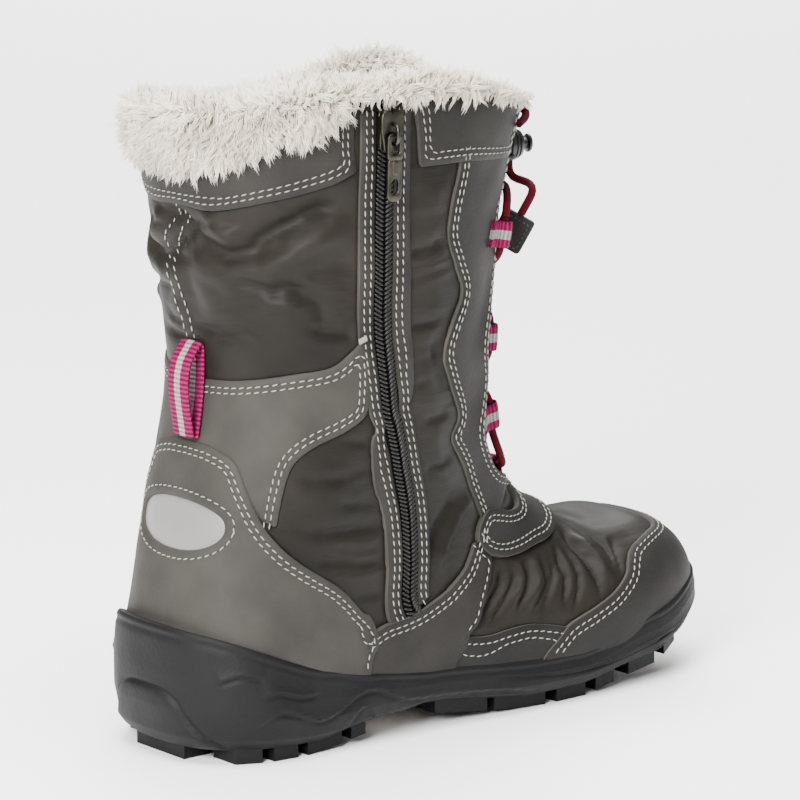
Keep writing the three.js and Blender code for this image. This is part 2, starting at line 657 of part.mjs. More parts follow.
// Each strand is given by the corners of its path, and the cord runs smoothly inside them.
const STRANDS = {
  lace_strand_medial: [
    aboveLoop(MEDIAL, 0), aboveLoop(MEDIAL, 3.5), ...vectors([[96, -27.5, 179.5], [105, -12.5, 177]]),
    ...throughLock(LATERAL), ...vectors([[110.8, -4.2, 205]]), overFront(203, 14, 4),
    overFront(198, 28, 3), overFront(194.5, 43, 2)],
  lace_strand_tab: [
    offTab(0, 6.2, 0.4), offTab(0, 6.2, 5),
    ...vectors([[110.5, -25, 176], [112.5, -19.5, 178], [110, -14.5, 178.5]]),
    ...throughLock(MEDIAL), ...vectors([[107.5, -20, 205]]), overFront(204, -36, 4),
    overFront(201.5, -45, 2)],
  lace_strand_lateral: [
    aboveLoop(LATERAL, 0), aboveLoop(LATERAL, 5), overFront(179, 28, 3.6), overFront(175, 10, 3.4),
    overFront(171, -2, 5), offTab(-5.75, 0, 7), offTab(-5.75, 0, 0.4)],
};

// Points along the smooth curve that a row of corners pulls into shape (a cubic B-spline).
function softened(corners) {
  const ends = [corners[0], corners[0], ...corners, corners.at(-1), corners.at(-1)];
  const points = [corners[0].clone()];
  for (let i = 0; i + 3 < ends.length; i++) {
    for (const f of [0.5, 1]) {
      const weights = [
        (1 - f) ** 3, 3 * f ** 3 - 6 * f ** 2 + 4, -3 * f ** 3 + 3 * f ** 2 + 3 * f + 1, f ** 3];
      const point = new THREE.Vector3();
      weights.forEach((weight, k) => point.addScaledVector(ends[i + k], weight / 6));
      points.push(point);
    }
  }
  return points;
}

// ---- Materials and the group --------------------------------------------------------------
const material = (color, roughness, metalness = 0) => (
  new THREE.MeshStandardMaterial({ color, roughness, metalness }));
const boot = new THREE.Group();

function addPart(name, shape, look) {
  const { vertProperties, triVerts } = shape.getMesh();
  const geometry = new THREE.BufferGeometry();
  geometry.setAttribute('position', new THREE.BufferAttribute(vertProperties, 3));
  geometry.setIndex(new THREE.BufferAttribute(triVerts, 1));
  geometry.computeVertexNormals();
  const mesh = new THREE.Mesh(geometry, look);
  mesh.name = name;
  boot.add(mesh);
}

addPart('sole', makeSole(), material(0x3a3a3b, 0.75));
addPart('insole', makeInsole(), material(0xcfc8bc, 0.95));
addPart('upper', makeUpper(), material(0x6a6660, 0.6));
addPart('fur_cuff', makeCuff(), material(0xe6e1d8, 1));
addPart('zip_chain', makeZipChain(), material(0x2e2e2f, 0.6));
addPart('zip_slider', makeZipSlider(), material(0x5a5a52, 0.4, 0.8));
addPart('zip_pull', makeZipPull(), material(0x5a5a52, 0.4, 0.8));
addPart('pull_loop', makePullLoop(), material(0xc7285f, 0.8));
for (const [side, sideName] of [[MEDIAL, 'medial'], [LATERAL, 'lateral']]) {
  for (const { name } of LACE_LOOPS) {
    addPart(`lace_loop_${sideName}_${name}`, makeLaceLoop(spots[side][name]), material(0xc7285f, 0.8));
  }
}
addPart('throat_loop', makeThroatLoop(), material(0xc7285f, 0.8));
addPart('lace_crossings', makeCrossings(), material(0x8e1f3c, 0.8));
for (const [name, route] of Object.entries(STRANDS)) {
  addPart(name, cordTube(softened(route), 22), material(0x8e1f3c, 0.8));
}
addPart('cord_lock', makeCordLock(), material(0x1d1d1e, 0.5));
addPart('cord_lock_button', makeLockButton(), material(0x1d1d1e, 0.5));
addPart('lace_tab', makeLaceTab(), material(0x454441, 0.7));

export default boot;
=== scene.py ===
# %% [markdown]
# # A snow boot, from its last outwards
# A shoe is built around a last, a foot-shaped form. This lesson does the same. First it makes
# the last as a surface that any piece can ask for a point and a direction. Then each piece, from
# the nylon shell to the smallest stitch, is laid on that surface. The moving and standing parts
# come packed from CAD, and nothing here changes their size.

# %% The frame
import math
import bmesh
import bpy
import numpy as np
from mathutils import Matrix, Vector
from mathutils.geometry import delaunay_2d_cdt
from mathutils.kdtree import KDTree


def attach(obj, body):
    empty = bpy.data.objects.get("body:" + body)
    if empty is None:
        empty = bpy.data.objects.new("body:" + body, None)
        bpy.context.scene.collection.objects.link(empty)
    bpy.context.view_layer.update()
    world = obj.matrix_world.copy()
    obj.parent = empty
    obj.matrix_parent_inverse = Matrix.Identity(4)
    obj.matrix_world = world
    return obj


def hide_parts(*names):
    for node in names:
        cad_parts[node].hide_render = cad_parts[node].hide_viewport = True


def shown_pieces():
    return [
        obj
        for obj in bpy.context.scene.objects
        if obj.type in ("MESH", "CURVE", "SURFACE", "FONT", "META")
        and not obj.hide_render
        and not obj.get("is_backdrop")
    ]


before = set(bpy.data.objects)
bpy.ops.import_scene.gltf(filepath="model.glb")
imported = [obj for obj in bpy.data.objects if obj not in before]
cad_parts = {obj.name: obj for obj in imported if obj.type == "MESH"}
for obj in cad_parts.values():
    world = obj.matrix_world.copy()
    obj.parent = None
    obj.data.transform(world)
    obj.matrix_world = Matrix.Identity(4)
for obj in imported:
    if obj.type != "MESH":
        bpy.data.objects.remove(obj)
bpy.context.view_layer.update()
BODY = "boot"

# %% [markdown]
# ## The last as a surface
# The real last is a turned block. Ours is a table of rounded oblong sections, read smoothly
# between its rows. A place on it is a pair (row, angle): rows run from the collar down the shaft
# and forward to the toe, and the angle is 0 at the front and grows to the outer side. A table
# was chosen over a sculpted mesh because every later piece can be laid on it exactly.

# %% The last's sections, in millimetres
# back x, back z, front x, front z, middle y, inner half, outer half, widest, back and front power
ROWS = np.array([
    (-25, 217, 115, 226, 0, 48.5, 48.5, .48, 2.4, 2.3),
    (-22.5, 194, 109.5, 205, 0, 48, 48, .48, 2.4, 2.3),
    (-20, 177, 103, 187, 0, 47, 47, .48, 2.4, 2.3),
    (-15, 151, 96, 158, 0, 45, 45, .47, 2.4, 2.3),
    (-14, 123, 94, 129, 0, 43, 43, .46, 2.4, 2.3),
    (-18, 97, 95, 104, 0, 41, 41, .44, 2.5, 2.3),
    (-24, 71, 102, 85, 0, 39, 40, .42, 2.6, 2.2),
    (-29, 45, 111, 73, 0, 38, 39, .40, 2.8, 2.2),
    (-32, 21, 120, 66, 0, 38, 39, .38, 3.0, 2.2),
    (-22, 4, 129, 61, -1, 38, 40, .40, 3.2, 2.2),
    (14, 2, 137, 57, -1, 38, 41, .42, 3.4, 2.3),
    (56, 2, 146, 54, -2, 39, 43, .42, 3.8, 2.4),
    (96, 0, 155, 54, -3, 40, 43, .40, 4.0, 2.5),
    (128, 0, 165, 54, -4, 39, 41, .40, 4.0, 2.6),
    (153, 3, 174, 51, -5, 34, 34, .40, 3.6, 2.6),
    (172, 10, 182, 44, -6, 25.5, 25.5, .44, 3.0, 2.5),
    (183, 16, 187.5, 34, -6, 14, 14, .50, 2.4, 2.3),
    (186.5, 21, 188.5, 28, -6, 5, 5, .50, 2.2, 2.2)])
LAST_ROW = len(ROWS) - 1
MM = 0.001


def quads(rows, columns, wrap_rows=0, wrap_columns=0, flip=False):
    """The faces of a grid of points, row by row; a wrapped grid closes on itself."""
    faces = []
    for i in range(rows - 1 + wrap_rows):
        for j in range(columns - 1 + wrap_columns):
            here, below = i * columns, (i + 1) % rows * columns
            k = (j + 1) % columns
            face = (here + j, here + k, below + k, below + j)
            faces.append(face[:1] + face[:0:-1] if flip else face)
    return faces


def signed_power(value, power):
    return np.sign(value) * np.abs(value) ** power


def section(row):
    """The table's ten columns at any place between its rows."""
    row = np.clip(row, 0, LAST_ROW)
    i = np.minimum(row.astype(int), LAST_ROW - 1)
    f = (row - i)[..., None]
    a, b, c, d = (ROWS[np.clip(i + k, 0, LAST_ROW)] for k in (-1, 0, 1, 2))
    leave = np.where((i == 0)[..., None], c - b, (c - a) / 2)
    arrive = np.where((i == LAST_ROW - 1)[..., None], c - b, (d - b) / 2)
    return ((2 * f**3 - 3 * f**2 + 1) * b + (f**3 - 2 * f**2 + f) * leave
            + (3 * f**2 - 2 * f**3) * c + (f**3 - f**2) * arrive)


def on_last(row, angle):
    """Points of the last, in millimetres."""
    row, angle = np.broadcast_arrays(np.asarray(row, float), np.asarray(angle, float))
    s = section(row)
    c = np.cos(angle)
    power = np.where(c >= 0, s[..., 9], s[..., 8])
    reach = np.where(c >= 0, 1 - s[..., 7], s[..., 7])
    along = s[..., 7] + reach * signed_power(c, 2 / power)
    side = signed_power(np.sin(angle), 2 / power)
    return np.stack([
        s[..., 0] + (s[..., 2] - s[..., 0]) * along,
        s[..., 4] + side * np.where(side >= 0, s[..., 6], s[..., 5]),
        s[..., 1] + (s[..., 3] - s[..., 1]) * along], -1)


def unit(v):
    return v / np.maximum(np.linalg.norm(v, axis=-1, keepdims=True), 1e-9)


def run_along(points):
    """How far along a row of points each one lies."""
    return np.concatenate([[0], np.cumsum(np.linalg.norm(np.diff(points, axis=0), axis=1))])


def outward(row, angle):
    """The direction straight out of the last."""
    step = 0.03
    down = on_last(row + step, angle) - on_last(row - step, angle)
    round_ = on_last(row, angle + step) - on_last(row, angle - step)
    return unit(np.cross(down, round_))


def raised(row, angle, height):
    row, angle = np.broadcast_arrays(np.asarray(row, float), np.asarray(angle, float))
    return on_last(row, angle) + outward(row, angle) * np.asarray(height)[..., None]


def rim_row(angle):
    """The top edge: highest over the zip, lower outside, with a dip in front."""
    front = (np.degrees(angle) + 202) % 360 - 180
    side = (np.degrees(angle) + 75) % 360 - 180
    return (0.25 * (1 + np.sin(angle)) + 0.18 * (1 + np.cos(angle))
            + 0.36 * np.exp(-(front / 46) ** 4) + 0.14 * np.exp(-(side / 25) ** 2))


print("toe", on_last(17, 0).round(1), "collar front", on_last(rim_row(0.0), 0.0).round(1))

# %% [markdown]
# ## Finding places on the last
# A pattern cutter marks a panel in plain sizes: so far forward, so high. Here those marks are
# pulled to the nearest place on the last. A search tree finds a close grid point and a few
# Newton steps finish. This beats ray casting, which misses where the form turns away.

# %% Marks to places
GRID_ROWS, GRID_ANGLES = np.meshgrid(
    np.arange(0.02, LAST_ROW - 0.2, 0.06), np.radians(np.arange(-180, 180, 1.5)), indexing="ij")
GRID_POINTS = on_last(GRID_ROWS, GRID_ANGLES).reshape(-1, 3)
GRID_ROWS, GRID_ANGLES = GRID_ROWS.ravel(), GRID_ANGLES.ravel()


def places(marks):
    """(row, angle) for marks (x, z) on the inner side or (x, y, z) anywhere."""
    found = []
    for mark in marks:
        flat = len(mark) == 2
        target = np.array([mark[0], 0 if flat else mark[1], mark[-1]], float)
        weight = np.array([1, 0 if flat else 1, 1])
        distance = ((GRID_POINTS - target) ** 2 * weight).sum(1)
        if flat:
            distance = distance + np.where(GRID_POINTS[:, 1] > -8, 1e4, 0)
        best = int(distance.argmin())
        row, angle = GRID_ROWS[best], GRID_ANGLES[best]
        for _ in range(6):
            here = on_last(row, angle)
            by = np.stack([on_last(row + .01, angle) - here, on_last(row, angle + .01) - here], 1) / .01
            step = np.linalg.lstsq(by * weight[:, None], (target - here) * weight, rcond=None)[0]
            step = np.clip(step, (-.1, -.06), (.1, .06))
            row, angle = np.clip(row + .7 * step[0], .02, LAST_ROW - .1), angle + .7 * step[1]
        found.append((row, angle))
    path = np.array(found)
    path[:, 1] = np.unwrap(path[:, 1])
    return path


def resample(path, spacing=1.3, closed=False):
    """Even steps along a path of places, measured on the last."""
    if closed:
        path = np.vstack([path, path[:1]])
    fine = np.vstack([a + (b - a) * np.linspace(0, 1, 12, endpoint=False)[:, None]
                      for a, b in zip(path[:-1], path[1:])] + [path[-1:]])
    points = on_last(*fine.T)
    run = run_along(points)
    count = max(int(round(run[-1] / spacing)), 2)
    at = np.linspace(0, run[-1], count + 1)
    even = np.stack([np.interp(at, run, fine[:, k]) for k in (0, 1)], 1)
    return even[:-1] if closed else even


def curve_through(path, steps=8):
    """A smooth (Catmull-Rom) path; a place given twice is a sharp corner."""
    pieces, run = [], [path[0]]
    for place in path[1:]:
        if np.allclose(place, run[-1]):
            pieces.append(np.array(run))
            run = []
        run.append(place)
    pieces.append(np.array(run))
    smooth = []
    for piece in pieces:
        if len(piece) < 3:
            smooth.append(piece)
            continue
        ends = np.vstack([2 * piece[0] - piece[1], piece, 2 * piece[-1] - piece[-2]])
        f = np.linspace(0, 1, steps, endpoint=False)[:, None]
        parts = [0.5 * (2 * b + (c - a) * f + (2 * a - 5 * b + 4 * c - d) * f**2
                        + (3 * b - a - 3 * c + d) * f**3)
                 for a, b, c, d in zip(ends, ends[1:], ends[2:], ends[3:])]
        smooth.append(np.vstack(parts + [piece[-1:]]))
    return np.vstack(smooth)


def track(*marks, spacing=1.3):
    """A smooth run of places through marks in millimetres."""
    return resample(curve_through(places(marks)), spacing)


def over_back(path):
    return np.stack([path[:, 0], -2 * np.pi - path[:, 1]], 1)


def over_front(path):
    return np.stack([path[:, 0], -path[:, 1]], 1)


def joined(*paths):
    return np.vstack(paths)


def both_backs(path):
    """A run from the back's middle to the inner side, with its mirror before it."""
    return joined(over_back(path)[::-1], path[1:])


def both_fronts(path):
    """A run from the inner side to the front's middle, with its mirror after it."""
    return joined(path, over_front(path)[::-1][1:])


def inset(path, distance):
    """The path moved sideways over the last: to the left of its direction is positive."""
    points = on_last(*path.T)
    normal = outward(*path.T)
    along = unit(np.gradient(points, axis=0))
    target = points + np.cross(normal, along) * distance
    step = 0.01
    by_row = (on_last(path[:, 0] + step, path[:, 1]) - points) / step
    by_angle = (on_last(path[:, 0], path[:, 1] + step) - points) / step
    moved = path.copy()
    for i, (r, a, d) in enumerate(zip(by_row, by_angle, target - points)):
        moved[i] += np.linalg.lstsq(np.stack([r, a], 1), d, rcond=None)[0]
    return moved


test = places([(26, 160), (-16, -11, 101.6)])
print("places", test.round(3).tolist(), on_last(*test.T).round(1).tolist())

# %% [markdown]
# ## Camera, floor and light
# A product shot of a boot uses a long lens, so the collar and the sole keep their true sizes,
# and big soft lamps over a pale sweep. The camera stands low behind the inner side. Area lamps
# give the soft, wide highlights that show folds in nylon.

# %% Camera
def add_object(name, data):
    obj = bpy.data.objects.new(name, data)
    bpy.context.scene.collection.objects.link(obj)
    return obj


AIM = Vector((0.072, 0, 0.1045))
TURN, RISE = math.radians(40), math.radians(11.5)
back = Vector((-math.sin(TURN) * math.cos(RISE), -math.cos(TURN) * math.cos(RISE), math.sin(RISE)))
camera_data = bpy.data.cameras.new("camera")
camera_data.sensor_width = 36
camera_data.lens = 185.2
camera_data.clip_start, camera_data.clip_end = 0.05, 20
camera = add_object("camera", camera_data)
camera.location = AIM + back * 1.4
camera.rotation_euler = back.to_track_quat("Z", "Y").to_euler()
bpy.context.scene.camera = camera


# %% Floor and lamps
def linear(text):
    """An sRGB hex colour as the linear numbers a shader takes."""
    values = [int(text[i:i + 2], 16) / 255 for i in (0, 2, 4)]
    return tuple(v / 12.92 if v <= 0.04045 else ((v + 0.055) / 1.055) ** 2.4 for v in values) + (1,)


def feed(node, key, value):
    """Links a node or one of its outputs to an input, or sets the input's value."""
    if isinstance(value, bpy.types.Node):
        value = value.outputs[0]
    if isinstance(value, bpy.types.NodeSocket):
        node.id_data.links.new(value, node.inputs[key])
    else:
        node.inputs[key].default_value = value


def add(tree, kind, links=None, **settings):
    """Adds a node, sets its properties, then fills or links its inputs."""
    node = tree.nodes.new(kind)
    for key, value in settings.items():
        setattr(node, key, value)
    for key, value in (links or {}).items():
        feed(node, key, value)
    return node


def maths(tree, operation, *values):
    return add(tree, "ShaderNodeMath", dict(enumerate(values)), operation=operation)


def vectors(tree, operation, first, second):
    key = "Scale" if operation == "SCALE" else 1
    return add(tree, "ShaderNodeVectorMath", {0: first, key: second}, operation=operation)


def bumped(tree, surface, height, distance, strength, under=None):
    """A bump on the surface, over another bump when one is given."""
    links = {"Height": height, "Distance": distance, "Strength": strength}
    bump = add(tree, "ShaderNodeBump", {**links, "Normal": under} if under else links)
    feed(surface, "Normal", bump)
    return bump


def ramped(tree, factor, dark, light, low, high):
    """A ramp between two hex colours."""
    ramp = add(tree, "ShaderNodeValToRGB", {"Fac": factor})
    for stop, position, colour in zip(ramp.color_ramp.elements, (low, high), (dark, light)):
        stop.position, stop.color = position, linear(colour)
    return ramp


def object_place(tree):
    return add(tree, "ShaderNodeTexCoord").outputs["Object"]


def new_material(name, colour, roughness, **shader):
    """A Principled material whose plain values sit on the shader's own sockets."""
    material = bpy.data.materials.new(name)
    material.use_nodes = True
    tree = material.node_tree
    tree.nodes.clear()
    surface = add(tree, "ShaderNodeBsdfPrincipled", {
        "Base Color": linear(colour), "Roughness": roughness,
        **{key.replace("_", " ").title().replace("Ior", "IOR"): value for key, value in shader.items()}})
    add(tree, "ShaderNodeOutputMaterial", {"Surface": surface})
    return material, tree, surface


floor_mesh = bpy.data.meshes.new("floor")
floor_mesh.from_pydata([(-6, -6, 0), (6, -6, 0), (6, 6, 0), (-6, 6, 0)], [], [(0, 1, 2, 3)])
floor_mesh.materials.append(new_material("paper_sweep", "fcfcfc", 0.95)[0])
floor = add_object("floor", floor_mesh)
floor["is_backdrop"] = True


def lamp(name, place, aim, size, watts):
    data = bpy.data.lights.new(name, "AREA")
    data.shape, data.size, data.energy = "DISK", size, watts
    obj = add_object(name, data)
    obj.location = place
    obj.rotation_euler = (Vector(place) - Vector(aim)).to_track_quat("Z", "Y").to_euler()


lamp("lamp_left", (-1.25, -0.65, 0.85), (0.05, 0, 0.1), 0.75, 78)
lamp("lamp_top", (-0.1, -0.15, 1.7), (0.08, 0, 0.1), 1.3, 74)
lamp("lamp_right", (1.0, -1.5, 0.9), (0.08, 0, 0.08), 0.9, 1.5)
lamp("lamp_back", (1.9, 2.3, 2.6), (1.9, 2.3, 0), 2.8, 330)
world = bpy.data.worlds.new("white_room")
world.use_nodes = True
world.node_tree.nodes["Background"].inputs[0].default_value = (1, 1, 1, 1)
world.node_tree.nodes["Background"].inputs[1].default_value = 0.36
bpy.context.scene.world = world
print("camera at", [round(v, 3) for v in camera.location])

# %% [markdown]
# ## The elastic lacing
# Two elastic cords cross the throat through webbing loops. Above the top loops they run through
# a sprung lock and under the collar's edge, and one ends in a leather tab. A cord is made as a
# curve with a round bevel, because its route is its whole shape. The routes are the CAD's own,
# in millimetres.

# %% Corners of the routes
def spot(row, angle):
    point, out = on_last(row, angle), outward(row, angle)
    step = 0.02
    up = unit(on_last(row - step, angle) - on_last(row + step, angle))
    return point, out, up


def row_at_height(height, angle):
    low, high = 0.0, 9.0
    for _ in range(30):
        middle = (low + high) / 2
        if on_last(middle, angle)[2] > height:
            low = middle
        else:
            high = middle
    return low


INNER, OUTER = -1, 1
LOOP_HEIGHTS = {"upper": 165, "middle": 127, "lower": 98}
LOOP_DEGREES = {"upper": 44, "middle": 31, "lower": 31}
LOOP_REACH, LOOP_LIFT, LOOP_OUTER, LOOP_WIDTH = 6.5, 0.6, 3.1, 9
THROAT_ROW, THROAT_LIFT = 7.35, 0.7


def loop_frame(side, name):
    """The loop's root, the way to the throat's middle, straight out, and up the shaft."""
    angle = side * math.radians(LOOP_DEGREES[name])
    point, out, up = spot(row_at_height(LOOP_HEIGHTS[name], angle), angle)
    inwards = unit(np.cross(up, out) * -side)
    return point, inwards, out, up


def eye(frame_):
    point, inwards, out, _ = frame_
    return point + inwards * LOOP_REACH + out * (LOOP_LIFT + LOOP_OUTER)


loops = {(side, name): loop_frame(side, name) for side in (INNER, OUTER) for name in LOOP_HEIGHTS}
throat_point, throat_out, throat_up = spot(THROAT_ROW, 0.0)
throat_point = throat_point + throat_out * THROAT_LIFT
throat_eye = throat_point + throat_up * LOOP_REACH + throat_out * (LOOP_LIFT + LOOP_OUTER)


def over_throat(height, degrees, lift):
    angle = math.radians(degrees)
    return raised(row_at_height(height, angle), angle, lift)


def through(side, name):
    frame_ = loops[side, name]
    return [eye(frame_) + frame_[3] * height for height in (-5.6, 0, 5.6)]


def across(low, high, angle_low, angle_high, lift):
    return [over_throat(low + (high - low) * f, angle_low + (angle_high - angle_low) * f,
                        lift + (f == 0.5)) for f in (0.25, 0.5, 0.75)]


def crossing(side, lift):
    upper, middle, lower = LOOP_HEIGHTS.values()
    start = throat_eye.copy()
    start[1] = side * 5.6
    centre = throat_eye.copy()
    centre[1] = 0
    return [centre, start, over_throat(84, side * 26, 4.6), *through(side, "lower"),
            *across(lower + 8, middle - 8, side * 24, -side * 24, lift), *through(-side, "middle"),
            *across(middle + 8, upper - 8, -side * 24, side * 36, lift), *through(side, "upper")]


# %% Lock, tab and the strands above the loops
LOCK_CENTRE = np.array([111, -11, 190.0])
LOCK_OUT = unit(np.array([0.96, -0.28, 0]))
LOCK_RIGHT = np.cross((0, 0, 1), LOCK_OUT)
TAB_CENTRE = np.array([104.2, -20.6, 162])
TAB_OUT = unit(np.array([-0.77, -0.64, 0]))
TAB_RIGHT = np.cross((0, 0, 1), TAB_OUT)
TAB_LEAN = math.radians(-28)


def in_lock(side):
    return [LOCK_CENTRE + LOCK_RIGHT * side * 2.6 - LOCK_OUT * 1.2 + np.array([0, 0, h])
            for h in (-9, -5, 0, 5, 9)]


def off_tab(x, y, distance):
    edge = np.array([x, y], float)
    edge *= (np.linalg.norm(edge) + distance) / np.linalg.norm(edge)
    c, s = math.cos(TAB_LEAN), math.sin(TAB_LEAN)
    return TAB_CENTRE + TAB_RIGHT * (c * edge[0] - s * edge[1]) + np.array([0, 0, s * edge[0] + c * edge[1]])


def above_loop(side, height):
    frame_ = loops[side, "upper"]
    return eye(frame_) + frame_[3] * (5.9 + height)


def softened(corners):
    """The smooth curve that a row of corners pulls into shape (a cubic B-spline)."""
    ends = [corners[0]] * 2 + list(corners) + [corners[-1]] * 2
    points = [np.array(corners[0], float)]
    for a, b, c, d in zip(ends, ends[1:], ends[2:], ends[3:]):
        for f in (0.25, 0.5, 0.75, 1.0):
            points.append(((1 - f) ** 3 * np.array(a) + (3 * f**3 - 6 * f**2 + 4) * np.array(b)
                           + (-3 * f**3 + 3 * f**2 + 3 * f + 1) * np.array(c) + f**3 * np.array(d)) / 6)
    return points


STRANDS = {
    "lace_strand_medial": [
        above_loop(INNER, 0), above_loop(INNER, 3.5), (96, -27.5, 179.5), (105, -12.5, 177),
        *in_lock(OUTER), (110.8, -4.2, 205), over_throat(203, 14, 4), over_throat(198, 28, 3),
        over_throat(194.5, 43, 2)],
    "lace_strand_tab": [
        off_tab(0, 6.2, 0.4), off_tab(0, 6.2, 5), (110.5, -25, 176), (112.5, -19.5, 178),
        (110, -14.5, 178.5), *in_lock(INNER), (107.5, -20, 205), over_throat(204, -36, 4),
        over_throat(201.5, -45, 2)],
    "lace_strand_lateral": [
        above_loop(OUTER, 0), above_loop(OUTER, 5), over_throat(179, 28, 3.6),
        over_throat(175, 10, 3.4), over_throat(171, -2, 5), off_tab(-5.75, 0, 7),
        off_tab(-5.75, 0, 0.4)]}


def centripetal(points, steps):
    """A smooth curve through points that never loops where they stand close."""
    points = [np.array(p, float) for p in points]
    ends = [2 * points[0] - points[1], *points, 2 * points[-1] - points[-2]]
    curve = []
    for p in zip(ends, ends[1:], ends[2:], ends[3:]):
        knots = np.concatenate([[0], np.cumsum([np.linalg.norm(b - a) ** 0.5 for a, b in zip(p, p[1:])])])
        for t in np.linspace(knots[1], knots[2], steps, endpoint=False):
            def between(a, b, i, j):
                return ((knots[j] - t) * a + (t - knots[i]) * b) / (knots[j] - knots[i])
            a, b, c = (between(p[i], p[i + 1], i, i + 1) for i in range(3))
            curve.append(between(between(a, b, 0, 2), between(b, c, 1, 3), 1, 2))
    return np.array(curve + [points[-1]])


# %% [markdown]
# Braid is the cord's look: fine yarns crossing at a slant around a rubber core. The pattern reads
# the curve's own UV map, so it follows every bend. Diagonal waves both ways give the crossing,
# and their height drives the bump and the colour: the grooves between the yarns are painted darker,
# as painted shade.

# %% Braided cord
def braided_cord():
    material, tree, surface = new_material("braided_polyester_cord", "8e1f3c", 0.75, specular_ior_level=0.12)
    uv = add(tree, "ShaderNodeUVMap")
    turned = add(tree, "ShaderNodeMapping", {"Vector": uv, "Scale": (70, 4, 1)})
    yarns = []
    for angle in (0.9, -0.9):
        slant = add(tree, "ShaderNodeMapping", {
            "Vector": turned, "Rotation": (0, 0, angle)})
        yarns.append(add(tree, "ShaderNodeTexWave", {"Vector": slant, "Scale": 1.6}))
    weave = maths(tree, "MAXIMUM", yarns[0].outputs["Fac"], yarns[1].outputs["Fac"])
    # darker in the grooves between the yarns: painted shade
    feed(surface, "Base Color", ramped(tree, weave, "26000a", "600018", 0.35, 1))
    bumped(tree, surface, weave, 0.0003, 0.8)
    return material


CORD = braided_cord()


def length_of(points):
    return float(np.linalg.norm(np.diff(points, axis=0), axis=1).sum())


def even_points(points, count):
    run = run_along(points)
    at = np.linspace(0, run[-1], count)
    return np.stack([np.interp(at, run, points[:, k]) for k in range(3)], 1)


def tube(name, runs, material, radius=1.4):
    """A curve object with a round bevel and one spline for each run of points."""
    data = bpy.data.curves.new(name, "CURVE")
    data.dimensions, data.bevel_depth, data.bevel_resolution = "3D", radius * MM, 4
    data.use_fill_caps = True
    for points in runs:
        spline = data.splines.new("POLY")
        spline.points.add(len(points) - 1)
        spline.points.foreach_set("co", np.c_[points * MM, np.ones(len(points))].ravel())
        spline.use_smooth = True
    data.materials.append(material)
    return add_object(name, data)


for name, corners in STRANDS.items():
    points = even_points(centripetal(softened(corners), 4), 40)
    cord = tube(name.replace("lace_", "elastic_"), [points], CORD)
    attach(cord, BODY)
    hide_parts(name)
    print(cord.name, round(length_of(points), 1), "mm")

crossings = [centripetal(crossing(side, lift), 10) for side, lift in ((INNER, 3), (OUTER, 4.6))]
for name, points in zip(("crossing_cord_inner", "crossing_cord_outer"), crossings):
    cord = tube(name, [points], CORD)
    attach(cord, BODY)
    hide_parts("lace_crossings")
    print(cord.name, round(length_of(points), 1), "mm")
